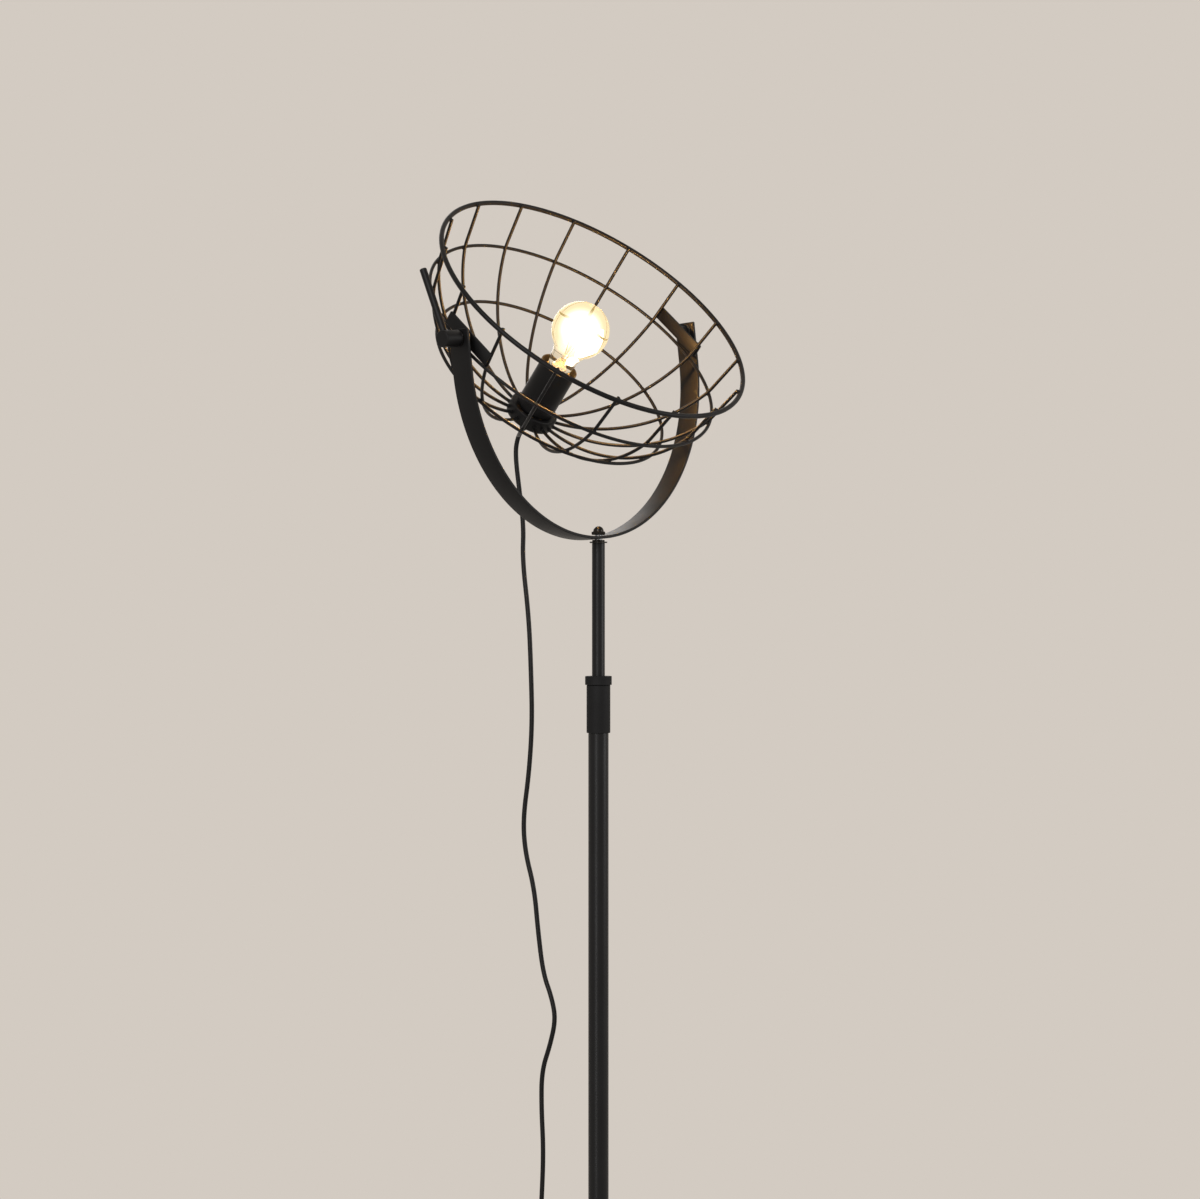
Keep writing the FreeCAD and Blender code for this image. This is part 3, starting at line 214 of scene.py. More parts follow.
def make_sheath():
    """Black flexible PVC, drawn over twisted cores: satin, with a faint slow unevenness."""
    material, tree, place = new_material("pvc_sheath_black", "#0c0c0d", Roughness=0.38, Specular_IOR_Level=0.2)
    wave = add(tree, "ShaderNodeTexNoise", {"Vector": place, "Scale": per(9.0), "Detail": 2.0})
    pore = add(tree, "ShaderNodeTexNoise", {"Vector": place, "Scale": per(0.8), "Detail": 2.0})
    return varied(material, (wave, "#080809", "#121213"), (pore, 0.3, 0.48), (wave, 0.35, 0.12))


def make_rubber():
    """Black rubber: deep, dull and slightly dusty."""
    material, tree, place = new_material("rubber_black", "#121212", Roughness=0.75, Specular_IOR_Level=0.25)
    dust = add(tree, "ShaderNodeTexNoise", {"Vector": place, "Scale": per(3.0), "Detail": 5.0})
    grit = add(tree, "ShaderNodeTexNoise", {"Vector": place, "Scale": per(0.4), "Detail": 2.0})
    return varied(material, (dust, "#0d0d0d", "#1c1c1b"), (dust, 0.66, 0.86), (grit, 0.4, 0.03))


def make_nylon(name, dark, light):
    """Turned nylon, natural or dyed: waxy, with a slow milky unevenness."""
    material, tree, place = new_material(name, light, Roughness=0.45)
    milk = add(tree, "ShaderNodeTexNoise", {"Vector": place, "Scale": per(2.5), "Detail": 3.0})
    return varied(material, tone=(milk, dark, light), relief=(milk, 0.2, 0.03))


def make_phenolic():
    """Dark brown-black phenolic, pressed hot: hard and slightly glossy, with a fine mottle."""
    material, tree, place = new_material("phenolic_dark", "#241d18", Roughness=0.28)
    mottle = add(tree, "ShaderNodeTexNoise", {"Vector": place, "Scale": per(1.6), "Detail": 4.0})
    return varied(material, tone=(mottle, "#1a1512", "#33291f"), rough=(mottle, 0.2, 0.38))


def make_metal(name, dark, light, low, high):
    """A bare metal: its two tones, and how its roughness wanders over faint handling marks."""
    material, tree, place = new_material(name, light, Metallic=1.0, Roughness=low)
    smear = add(tree, "ShaderNodeTexNoise", {"Vector": place, "Scale": per(4.0), "Detail": 4.0})
    scratch = add(tree, "ShaderNodeTexNoise", {"Vector": place, "Scale": per(0.35), "Detail": 2.0})
    return varied(material, (smear, dark, light), (smear, low, high), (scratch, 0.15, 0.01))


def make_cast_iron():
    """Sand-cast iron: dark grey and coarse, with a pitted skin."""
    material, tree, place = new_material("cast_iron_raw", "#3b3b3c", Metallic=0.7, Roughness=0.7)
    pits = add(tree, "ShaderNodeTexNoise", {"Vector": place, "Scale": per(1.5), "Detail": 6.0})
    return varied(material, tone=(pits, "#2a2a2b", "#4d4b49"), relief=(pits, 0.8, 0.3))


def make_bulb_glass():
    """Thin blown glass with the lamp lit: a white glare in the ball that thins to clear cream at the edge."""
    material, tree, place = new_material("blown_glass_lit", "#fffaf0", Roughness=0.0, IOR=1.1,
                                         Transmission_Weight=1.0, Emission_Strength=1.0)
    edge = add(tree, "ShaderNodeLayerWeight", {"Blend": 0.5})
    middle = add(tree, "ShaderNodeMapRange", {"Value": edge.outputs["Facing"], "From Min": 0.0,
                                              "From Max": 0.34, "To Min": 1.0, "To Max": 0.0},
                 interpolation_type="SMOOTHSTEP")
    # how far along the bulb the glass's painted glow reaches: full in the ball, falling off down the clear neck
    centred = add(tree, "ShaderNodeVectorMath", {0: place, 1: tuple(BULB_MIDDLE)}, operation="SUBTRACT")
    along = add(tree, "ShaderNodeVectorMath", {0: centred, 1: tuple(BULB_AXIS)}, operation="DOT_PRODUCT")
    ball = add(tree, "ShaderNodeMapRange", {"Value": along.outputs["Value"], "From Min": mm(-38.0),
                                            "From Max": mm(-16.0), "To Min": 0.0, "To Max": 1.0},
               interpolation_type="SMOOTHSTEP")
    glare = add(tree, "ShaderNodeMath", {0: middle, 1: ball}, operation="MULTIPLY")
    ripple = add(tree, "ShaderNodeTexNoise", {"Vector": place, "Scale": per(16.0), "Detail": 1.0})
    cream = add(tree, "ShaderNodeMix", {0: ripple, 6: linear("#5a4d2a"), 7: linear("#625634")},
                data_type="RGBA")
    # painted glow: the glass's own emission stands in for the filament's light, cream in the ball and dim down
    # the neck
    glass_glow = add(tree, "ShaderNodeMix", {0: ball, 6: linear("#1c1912"), 7: cream.outputs[2]}, data_type="RGBA")
    glow = add(tree, "ShaderNodeMix", {0: glare, 6: glass_glow.outputs[2], 7: linear("#c8c2b0")}, data_type="RGBA")
    tree.links.new(glow.outputs[2], tree.nodes["Principled BSDF"].inputs["Emission Color"])
    return varied(material, relief=(ripple, 0.1, 0.1))


def make_clear_glass():
    """The pressed glass of the lamp's inner stem: clear, with a few drawn streaks."""
    material, tree, place = new_material("stem_glass_clear", "#f4efe4", Roughness=0.08, IOR=1.5,
                                         Transmission_Weight=0.9)
    streak = add(tree, "ShaderNodeTexNoise", {"Vector": place, "Scale": per(3.0), "Detail": 2.0})
    return varied(material, relief=(streak, 0.2, 0.2))


def make_hot_tungsten():
    """Tungsten at white heat: its colour swings a little along the wire where it runs cooler."""
    material, tree, place = new_material("tungsten_hot", "#6b6258", Metallic=1.0, Roughness=0.4,
                                         Emission_Strength=12.0)
    heat = add(tree, "ShaderNodeTexNoise", {"Vector": place, "Scale": per(3.0), "Detail": 1.0})
    glow = add(tree, "ShaderNodeMix", {0: heat, 6: linear("#ffb86a"), 7: linear("#ffe9c4")}, data_type="RGBA")
    tree.links.new(glow.outputs[2], tree.nodes["Principled BSDF"].inputs["Emission Color"])
    return material


POWDER = make_powder_coat()
ENAMEL = make_tube_enamel()
BLACK_NICKEL = make_black_nickel()
PLASTIC = make_moulded_plastic()
SHEATH = make_sheath()
RUBBER = make_rubber()
NYLON = make_nylon("nylon_natural", "#c2bdb0", "#dcd8ce")
BLACK_NYLON = make_nylon("nylon_black", "#121212", "#1e1e1d")
PHENOLIC = make_phenolic()
CAST_IRON = make_cast_iron()
# zinc plate is pale and a little cloudy, brass warm and bright, and nickel clear and mirror-like
ZINC = make_metal("zinc_plated_steel", "#a3a7ab", "#c6c9cb", 0.3, 0.5)
BRASS = make_metal("brass_pressed", "#b98a3a", "#dcb35f", 0.16, 0.34)
NICKEL = make_metal("nickel_plate", "#b9b6ae", "#d9d7d0", 0.12, 0.26)
CAP_BRASS = make_metal("brass_rolled", "#c69a4a", "#e6c578", 0.2, 0.4)
GLASS = make_bulb_glass()
STEM_GLASS = make_clear_glass()
TUNGSTEN = make_hot_tungsten()

# ---------------------------------------------------------------- making shapes

# faces that meet more sharply than this show a corner
SHARP_ANGLE = math.radians(38.0)


def finished(name, mesh, material, slot, body, *nodes):
    """A piece from its mesh: material, smooth faces with sharp corners, body and replaced nodes."""
    mesh.materials.clear()
    mesh.materials.append(material)
    mesh.shade_smooth()
    mesh.set_sharp_from_angle(angle=SHARP_ANGLE)
    piece = bpy.data.objects.new(name, mesh)
    bpy.context.collection.objects.link(piece)
    if body:
        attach(piece, body)
    if nodes:
        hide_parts(*nodes)
    return piece


def solid_mesh(name, points, faces, place):
    """A closed mesh from points in millimetres, put in place, with its faces outwards."""
    mesh = bpy.data.meshes.new(name)
    mesh.from_pydata([[mm(v) for v in p] for p in points], [], faces)
    mesh.transform(place)
    shape = bmesh.new()
    shape.from_mesh(mesh)
    bmesh.ops.remove_doubles(shape, verts=shape.verts, dist=mm(0.0005))
    bmesh.ops.recalc_face_normals(shape, faces=shape.faces)
    shape.to_mesh(mesh)
    shape.free()
    return mesh


def rounded(outline, steps=6):
    """A closed outline of (x, y) or (x, y, rounding) corners with each rounding drawn as an arc."""
    pairs = []
    count = len(outline)
    for index, corner in enumerate(outline):
        here = Vector(corner[:2])
        size = corner[2] if len(corner) > 2 else 0.0
        if size == 0.0:
            pairs.append(tuple(here))
            continue
        before = (Vector(outline[index - 1][:2]) - here).normalized()
        after = (Vector(outline[(index + 1) % count][:2]) - here).normalized()
        half = before.angle(after) / 2.0
        centre = here + (before + after).normalized() * (size / math.sin(half))
        start = here + before * (size / math.tan(half)) - centre
        sweep = start.angle_signed(here + after * (size / math.tan(half)) - centre)
        for step in range(steps + 1):
            turn = Matrix.Rotation(-sweep * step / steps, 2)
            pairs.append(tuple(centre + turn @ start))
    return pairs


def rectangle(x, y, corner, steps, first=0):
    """A rounded rectangle from its half sizes; its first corner decides how a flat end is shaded."""
    corners = [(x, -y, corner), (x, y, corner), (-x, y, corner), (-x, -y, corner)]
    return rounded(corners[first:] + corners[:first], steps)


def lathe(name, outline, place=UPRIGHT, sides=72, reach=None):
    """A turned solid from its closed half outline; reach may change the radius round the turn."""
    points = []
    rows = []
    for radius, height in rounded(outline):
        if radius < 1e-6:
            rows.append([len(points)] * sides)
            points.append((0.0, 0.0, height))
            continue
        rows.append(list(range(len(points), len(points) + sides)))
        for side in range(sides):
            turn = 2.0 * math.pi * side / sides
            size = reach(radius, height, turn) if reach else radius
            points.append((size * math.cos(turn), size * math.sin(turn), height))
    faces = []
    for index, row in enumerate(rows):
        after = rows[(index + 1) % len(rows)]
        if row[0] == row[1] and after[0] == after[1]:
            continue
        for side in range(sides):
            nearby = (side + 1) % sides
            corners = [row[side], row[nearby], after[nearby], after[side]]
            faces.append(list(dict.fromkeys(corners)))
    return solid_mesh(name, points, faces, place)


def turned(name, outline, material, slot, body, *nodes, **lathing):
    """A turned piece; its other values go to the lathe."""
    return finished(name, lathe(name, outline, **lathing), material, slot, body, *nodes)


def loft(name, rings, place=UPRIGHT, closed=False):
    """A skin over rings of equally many points, capped at both ends or closed on itself."""
    points = [point for ring in rings for point in ring]
    size = len(rings[0])
    faces = []
    for index in range(len(rings) if closed else len(rings) - 1):
        first = index * size
        second = (index + 1) % len(rings) * size
        for side in range(size):
            nearby = (side + 1) % size
            faces.append([first + side, first + nearby, second + nearby, second + side])
    if not closed:
        faces.append(list(range(size))[::-1])
        faces.append(list(range(len(points) - size, len(points))))
    return solid_mesh(name, points, faces, place)


def joined(name, *meshes):
    """Several meshes as one."""
    shape = bmesh.new()
    for mesh in meshes:
        shape.from_mesh(mesh)
    mesh = bpy.data.meshes.new(name)
    shape.to_mesh(mesh)
    shape.free()
    return mesh


def hexagon(flats, turn):
    """The distance from a hexagon's middle to its side, in this direction."""
    return flats / 2.0 / math.cos((turn + math.pi / 6.0) % (math.pi / 3.0) - math.pi / 6.0)


def ends_of(node):
    """The heights of a node's lowest and highest points, in millimetres."""
    low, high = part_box(node)
    return low.z * 1000.0, high.z * 1000.0


def along_x(reverse=False):
    """The turn that lays a shape made about Z along X, or along -X."""
    return turn_by(-90.0 if reverse else 90.0, "Y")


# ---------------------------------------------------------------- cords

# The control points of each length of cord, in metres, from the gland down to the floor, through
# the foot switch and to the coil.
CORD_DIAMETER = 0.005
UPPER_ROUTE = [
    (-0.0112, 0.0964, 1.4002), (-0.0107, 0.1012, 1.3951), (-0.0098, 0.1056, 1.3873), (-0.0090, 0.1082, 1.3776),
    (-0.0080, 0.1080, 1.3610), (-0.0100, 0.1010, 1.3300), (-0.0130, 0.0930, 1.2960), (-0.0150, 0.0930, 1.2620),
    (-0.0165, 0.0870, 1.2315),
]
MIDDLE_ROUTE = [
    (-0.0165, 0.0870, 1.2315), (-0.0180, 0.0810, 1.2010), (-0.0200, 0.0760, 1.1420), (-0.0200, 0.0745, 1.0900),
    (-0.0200, 0.0790, 1.0380), (-0.0200, 0.0875, 0.9900), (-0.0200, 0.0845, 0.9550), (-0.0200, 0.0715, 0.9180),
    (-0.0200, 0.0660, 0.8720), (-0.0200, 0.0625, 0.8510),
]
LOWER_ROUTE = [
    (-0.0200, 0.0625, 0.8510), (-0.0200, 0.0590, 0.8300), (-0.0200, 0.0470, 0.8060), (-0.0200, 0.0415, 0.7840),
    (-0.0200, 0.0490, 0.7570), (-0.0200, 0.0610, 0.7280), (-0.0200, 0.0615, 0.6900), (-0.0200, 0.0585, 0.6450),
    (-0.0200, 0.0610, 0.5950), (-0.0200, 0.0650, 0.5400), (-0.0200, 0.0700, 0.4820), (-0.0200, 0.0770, 0.4220),
    (-0.0200, 0.0850, 0.3620), (-0.0200, 0.0950, 0.3040), (-0.0200, 0.1070, 0.2470), (-0.0200, 0.1200, 0.1920),
    (-0.0200, 0.1340, 0.1400), (-0.0200, 0.1480, 0.0940), (-0.0200, 0.1620, 0.0580), (-0.0200, 0.1800, 0.0280),
    (-0.0200, 0.2040, 0.0080), (-0.0200, 0.2280, 0.0030), (-0.0200, 0.2470, 0.0070), (-0.0200, 0.2580, 0.0070),
]
TAIL_ROUTE = [
    (-0.0200, 0.3720, 0.0070), (-0.0200, 0.3870, 0.0070), (-0.0280, 0.4010, 0.0050), (-0.0420, 0.4090, 0.0035),
    (-0.0580, 0.4090, 0.0026), (-0.0720, 0.4010, 0.0025), (-0.0800, 0.3870, 0.0025), (-0.0800, 0.3720, 0.0025),
]
COIL_CENTRE = Vector((-0.1128, 0.3670, 0.0025))
COIL_TURNS_IN = 2.0
COIL_TURNS = 4.25
COIL_POINTS_PER_TURN = 16
COIL_LEAD = Vector((-0.014, 0.0, 0.0))
COIL_INNER_RADIUS = 21.6
COIL_PITCH = 5.6


def coil_route():
    """The coil's own control points: in on the floor, up within half a turn at the middle, out on top."""
    shrink = math.cos(math.pi / COIL_POINTS_PER_TURN)
    points = []
    for step in range(int(COIL_TURNS * COIL_POINTS_PER_TURN) + 1):
        turn = step / COIL_POINTS_PER_TURN
        radius = mm(COIL_INNER_RADIUS + COIL_PITCH * abs(turn - COIL_TURNS_IN)) / shrink
        level = min(max((turn - COIL_TURNS_IN + 0.25) * 2.0, 0.0), 1.0)
        angle = -2.0 * math.pi * turn
        points.append(COIL_CENTRE + Vector((radius * math.cos(angle), radius * math.sin(angle),
                                            mm(COIL_PITCH) * level)))
    last = points[-1]
    return [tuple(p) for p in points + [last + COIL_LEAD * 0.5, last + COIL_LEAD]]


def cord_curve(name, route, thickness):
    """A smooth curve whose control points are the route's."""
    data = bpy.data.curves.new(name, "CURVE")
    data.dimensions = "3D"
    data.resolution_u = 12
    data.bevel_depth = thickness / 2.0
    data.bevel_resolution = 4
    data.use_fill_caps = True
    spline = data.splines.new("NURBS")
    spline.points.add(len(route) - 1)
    for point, place in zip(spline.points, route):
        point.co = (*place, 1.0)
    spline.order_u = 3
    spline.use_endpoint_u = True
    cord = bpy.data.objects.new(name, data)
    bpy.context.collection.objects.link(cord)
    return cord


def mesh_of(source):
    """The evaluated mesh of an object, which is then removed."""
    bpy.context.view_layer.update()
    evaluated = source.evaluated_get(bpy.context.evaluated_depsgraph_get())
    mesh = bpy.data.meshes.new_from_object(evaluated)
    bpy.data.objects.remove(source)
    return mesh


def new_tree(name, values):
    """A geometry node tree with a named input for each value, and the sockets that give them."""
    tree = bpy.data.node_groups.new(name, "GeometryNodeTree")
    kinds = {int: "Int", float: "Float", tuple: "Vector"}
    for label, value in values.items():
        kind = "NodeSocket" + kinds.get(type(value), "Material")
        tree.interface.new_socket(label, in_out="INPUT", socket_type=kind)
    tree.interface.new_socket("Shape", in_out="OUTPUT", socket_type="NodeSocketGeometry")
    return tree, add(tree, "NodeGroupInput").outputs


def mesh_from_tree(tree, values, shape, place):
    """The plain mesh of a tree's shape, drawn in millimetres, in the tree's finish and put in place."""
    real = add(tree, "GeometryNodeRealizeInstances", {"Geometry": shape})
    finish = tree.nodes["Group Input"].outputs["Finish"]
    coated = add(tree, "GeometryNodeSetMaterial", {"Geometry": real, "Material": finish})
    add(tree, "NodeGroupOutput", {"Shape": coated})
    source = bpy.data.objects.new(tree.name, bpy.data.meshes.new(tree.name))
    bpy.context.collection.objects.link(source)
    modifier = source.modifiers.new(tree.name, "NODES")
    modifier.node_group = tree
    for item in tree.interface.items_tree:
        if item.name in values:
            modifier[item.identifier] = values[item.name]
    mesh = mesh_of(source)
    mesh.transform(place @ Matrix.Scale(0.001, 4))
    return mesh


def line_of(route):
    """The points of the route's smooth line."""
    return [tuple(v.co) for v in mesh_of(cord_curve("line", route, 0.0)).vertices]


def hanging_cord(name, route, node):
    """A length of cord along its route, from one body's side to the other's."""
    mesh = mesh_of(cord_curve(name, route, CORD_DIAMETER))
    cord = finished(name, mesh, SHEATH, "cord_sheath", None, node)
    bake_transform(cord)
    line_of(route)


# the lengths' lines lean towards the pivots, to share out how much the cord would thin at the tilt's two limits
hanging_cord("cord_upper_length", UPPER_ROUTE, "cord_upper")
hanging_cord("cord_middle_length", MIDDLE_ROUTE, "cord_middle")
hanging_cord("cord_lower_length", LOWER_ROUTE, "cord_lower")

add_camera()

# ---------------------------------------------------------------- base and stem

BASE_TOP = 19.0
TUBE_TOP = 1106.1


def make_base():
    """The pressed cover with its rounded rim, and the turned ring where the stem stands on it."""
    turned("base_cover_shell", [
        (5.25, 17.5), (5.25, BASE_TOP), (140.0, BASE_TOP, 8.0), (140.0, 1.2, 0.5), (138.5, 1.2, 0.5),
        (138.5, 17.5, 6.5),
    ], POWDER, "powder_coat", "base", "base_cover", sides=160)
    turned("seat_ring", [
        (10.52, BASE_TOP), (18.0, BASE_TOP, 0.3), (18.0, 31.0, 4.0), (11.4, 31.0, 0.4), (10.52, 30.4),
    ], POWDER, "powder_coat", "base", "tube_seat_ring")


def make_stem():
    """The two drawn tubes; the outer one's upper end is closed in over its edge."""
    turned("stem_lower_tube", [
        (9.3, BASE_TOP), (10.5, BASE_TOP), (10.5, TUBE_TOP, 0.4), (9.3, TUBE_TOP, 0.4),
    ], ENAMEL, "tube_enamel", "base", "lower_tube")
    bottom, top = ends_of("inner_tube")
    turned("stem_inner_tube", [(5.5, bottom), (6.7, bottom), (6.7, top, 0.5), (5.5, top, 0.3)],
           ENAMEL, "tube_enamel", "mast", "inner_tube")


def make_collar():
    """The fixed sleeve with its soft edges, and the twist ring above it with fine grip flutes."""
    turned("collar_sleeve", [
        (10.52, 1082.1, 0.2), (12.3, 1082.1, 0.7), (12.3, 1131.4, 0.5), (11.2, 1131.4), (11.2, 1137.0, 0.3),
        (9.8, 1137.0), (9.8, 1109.1), (7.0, 1109.1), (7.0, TUBE_TOP), (10.52, TUBE_TOP),
    ], PLASTIC, "moulded_plastic", "base", "collar_body")

    def fluted(radius, height, turn):
        inside = 1132.9 < height < 1139.7 and radius > 13.0
        return radius - (0.16 if inside and round(turn / (2.0 * math.pi) * 120.0) % 2 else 0.0)

    turned("collar_twist_ring", [
        (11.3, 1131.7, 0.2), (13.8, 1131.7, 0.7), (13.8, 1133.0), (13.8, 1139.6), (13.8, 1140.9, 0.7),
        (7.0, 1140.9, 0.4), (7.0, 1137.3), (11.3, 1137.3),
    ], PLASTIC, "moulded_plastic", "collar_ring", "collar_ring", sides=120, reach=fluted)


def make_stem_top():
    """The toothed washer on the tube's end, the lock washer under the bracket and the acorn nut."""
    bottom, top = ends_of("stem_washer")

    def toothed(radius, height, turn):
        tooth = round(turn / (2.0 * math.pi) * 72.0) % 4
        return radius - (0.7 if radius > 8.5 and tooth in (0, 1) else 0.0)

    turned("toothed_washer", [(4.05, bottom), (9.1, bottom, 0.2), (9.1, top, 0.2), (4.05, top)],
           BLACK_NICKEL, "black_hardware", "mast", "stem_washer", reach=toothed)
    bottom, top = ends_of("lock_washer")
    turned("spring_washer", [(4.05, bottom, 0.2), (6.5, bottom, 0.3), (6.5, top, 0.3), (4.05, top, 0.2)],
           BLACK_NICKEL, "black_hardware", "yoke", "lock_washer")
    bottom = ends_of("dome_nut")[0]

    def six_sided(radius, height, turn):
        return min(radius, hexagon(13.0, turn)) if height < bottom + 3.61 else radius

    turned("acorn_nut", [
        (4.0, bottom), (6.5, bottom), (7.5, bottom + 0.5), (7.5, bottom + 3.1), (6.4, bottom + 3.6),
        (5.5, bottom + 3.62), (5.5, bottom + 9.2, 5.4), (0.0, bottom + 9.2), (0.0, bottom + 7.2),
        (4.0, bottom + 7.2),
    ], BLACK_NICKEL, "black_hardware", "yoke", "dome_nut", sides=96, reach=six_sided)


make_base()
make_stem()
make_collar()
make_stem_top()

# ---------------------------------------------------------------- bracket and pivots

HALF_WIDTH = 176.5
STRIP_THICKNESS = 3.0
STRIP_WIDTH = 25.0
ARM_TOP = 9.0
BEND_HEIGHT = HALF_WIDTH - PIVOT_RISE
STRIP_SECTION = rectangle(STRIP_THICKNESS / 2.0, STRIP_WIDTH / 2.0, 0.6, 3, first=3)


def strip_ring(centre, outward, filed):
    """The strip's rounded section at a point of its line, drawn in by so much where its end is filed."""
    ring = []
    for across, along in STRIP_SECTION:
        reach = across - math.copysign(filed, across)
        ring.append((centre[0] + outward[0] * reach, along - math.copysign(filed, along),
                     centre[1] + outward[1] * reach))
    return ring


def make_bracket():
    """The U of flat strip: two arms and a half circle, its long edges rounded and its ends filed."""
    arm = [(ARM_TOP, 0.5), (ARM_TOP - 0.5, 0.0), (-12.0, 0.0)]
    rings = [strip_ring((-HALF_WIDTH, height), (-1.0, 0.0), filed) for height, filed in arm]
    for step in range(121):
        turn = math.radians(180.0 + 180.0 * step / 120)
        outward = (math.cos(turn), math.sin(turn))
        centre = (HALF_WIDTH * outward[0], BEND_HEIGHT + HALF_WIDTH * outward[1])
        rings.append(strip_ring(centre, outward, 0.0))
    rings += [strip_ring((HALF_WIDTH, height), (1.0, 0.0), filed) for height, filed in reversed(arm)]
    strip = loft("bracket_strip", rings, BRACKET)
    finished("bracket_strip", strip, POWDER, "powder_coat", "yoke", "yoke_bracket")


def washer_pair(name, inner, outer, start, thickness, rounding, place):
    """Equal washers at both pivots, the left one mirrored."""
    outline = [(inner, start, 0.1), (outer, start, rounding), (outer, start + thickness, rounding),
               (inner, start + thickness, 0.1)]
    return joined(name, lathe(name, outline, place @ along_x()), lathe(name, outline, place @ along_x(True)))


ARM_INNER = HALF_WIDTH - STRIP_THICKNESS / 2.0
ARM_OUTER = HALF_WIDTH + STRIP_THICKNESS / 2.0
# the outer washers lie between the arms and the screw's head and the clamp's barrel
CLAMP_FACE = ARM_OUTER + 1.5
PLATE_INNER = 162.9
PLATE_OUTER = PLATE_INNER + 2.51


def make_pivots():
    """Nylon washers inside the arms, steel washers outside, spacers, and the right pivot's screw."""
    friction = washer_pair("nylon_washers", 3.05, 8.0, ARM_INNER - 1.22, 1.2, 0.3, BRACKET)
    finished("nylon_washers", friction, BLACK_NYLON, "plain_nylon", "yoke", "friction_washers")
    outer = washer_pair("arm_washers", 3.05, 8.0, ARM_OUTER + 0.02, 1.2, 0.3, BRACKET)
    finished("arm_washers", outer, BLACK_NICKEL, "black_hardware", "yoke", "pivot_outer_washers")
    spacers = washer_pair("pivot_sleeves", 3.0, 6.0, PLATE_OUTER + 0.02, 8.05, 0.4, CAGE)
    finished("pivot_sleeves", spacers, POWDER, "black_hardware", "head", "pivot_spacers")

    def socketed(radius, height, turn):
        return hexagon(4.0, turn) if 1.9 < radius < 2.1 else radius

    turned("pan_head_screw", [
        (0.0, PLATE_INNER + 0.6), (2.95, PLATE_INNER + 0.6, 0.3), (2.95, CLAMP_FACE), (5.5, CLAMP_FACE, 0.2),
        (5.5, CLAMP_FACE + 3.4, 2.2), (2.0, CLAMP_FACE + 3.4), (2.0, CLAMP_FACE + 1.4), (0.0, CLAMP_FACE + 1.4),
    ], BLACK_NICKEL, "black_hardware", "head", "pivot_screw", place=CAGE @ along_x(), sides=48, reach=socketed)


def make_lever():
    """The clamp's barrel, pressed on its stud, and the round bar that turns it."""
    outer = CLAMP_FACE + 22.0
    turned("clamp_barrel", [
        (2.98, CLAMP_FACE), (8.3, CLAMP_FACE, 0.8), (8.3, outer, 1.0), (0.0, outer),
        (0.0, CLAMP_FACE + 10.1), (2.98, CLAMP_FACE + 10.1),
    ], POWDER, "black_hardware", "lever", "lever_hub", place=BRACKET @ along_x(True))
    stand = BRACKET @ move_by(6.0 - outer, 0.0, 0.0) @ turn_by(-17.0, "X")
    turned("clamp_bar", [(0.0, 4.4), (3.6, 4.4), (3.6, 74.3, 1.1), (0.0, 74.3)],
           POWDER, "black_hardware", "lever", "lever_bar", place=stand, sides=48)


def make_plates():
    """The flat bars across two ribs that carry the pivots, with rounded corners and filed edges."""
    half_length = 33.83
    half_height = 7.0
    for hand, side in (("right", 1.0), ("left", -1.0)):
        rings = []
        for inset, depth in ((0.4, 0.0), (0.0, 0.4), (0.0, 2.1), (0.4, 2.5)):
            outline = rectangle(half_length - inset, half_height - inset, 1.0, 4, first=3)
            rings.append([(side * (PLATE_INNER + depth), y, z) for y, z in outline])
        plate = loft(f"plate_{hand}", rings, CAGE)
        finished(f"plate_{hand}", plate, POWDER, "powder_coat", "head", f"pivot_plate_{hand}")


make_bracket()
make_pivots()
make_lever()
make_plates()

# ---------------------------------------------------------------- wire cage

RIB_COUNT = 16
RIB_WIRE = 3.5
RING_WIRE = 3.5
RIM_WIRE = 5.0
RIM_RADIUS = 174.0
RIM_HEIGHT = 36.9
UPPER_RING_TURN = 71.0
LOWER_RING_TURN = 46.5
WELD_BEAD = 2.3
SHOULDER = (162.7, -2.0)
BEND_RADIUS = 57.0
BOWL_RADIUS = 153.6
BEND_END = math.radians(66.7)
CROWN_RADIUS = 26.5
# how far the middles of the rim's and the rings' wires lie outside the ribs' middles: they are sunk a
# little into the ribs where they are welded
RIM_OFFSET = 4.07
RING_OFFSET = 3.35
SHOULDER_TURN = (math.atan2(RIM_HEIGHT - SHOULDER[1], RIM_RADIUS - SHOULDER[0])
                 + math.asin(RIM_OFFSET / math.hypot(RIM_HEIGHT - SHOULDER[1], RIM_RADIUS - SHOULDER[0])))


def arc_point(centre, radius, turn):
    """The point of an arc whose slope has this turn from level, as (radius, height)."""
    return (centre[0] + radius * math.sin(turn), centre[1] - radius * math.cos(turn))


BEND_CENTRE = (SHOULDER[0] - BEND_RADIUS * math.sin(SHOULDER_TURN),
               SHOULDER[1] + BEND_RADIUS * math.cos(SHOULDER_TURN))
BOWL_START = arc_point(BEND_CENTRE, BEND_RADIUS, BEND_END)
BOWL_CENTRE = (BOWL_START[0] - BOWL_RADIUS * math.sin(BEND_END),
               BOWL_START[1] + BOWL_RADIUS * math.cos(BEND_END))
BOWL_END = math.asin((CROWN_RADIUS - 0.4 - BOWL_CENTRE[0]) / BOWL_RADIUS)
RIB_TOP_HEIGHT = RIM_HEIGHT + 1.5
RIB_TOP = (SHOULDER[0] + (RIB_TOP_HEIGHT - SHOULDER[1]) / math.tan(SHOULDER_TURN), RIB_TOP_HEIGHT)


def hoop_place(angle):
    """Where a ring's wire lies on the outside of the ribs, as (radius, height), and its weld's place."""
    turn = math.radians(angle)
    on_bend = turn > BEND_END
    centre = BEND_CENTRE if on_bend else BOWL_CENTRE
    radius = BEND_RADIUS if on_bend else BOWL_RADIUS
    return arc_point(centre, radius + RING_OFFSET, turn), arc_point(centre, radius + RING_OFFSET / 2.0, turn)


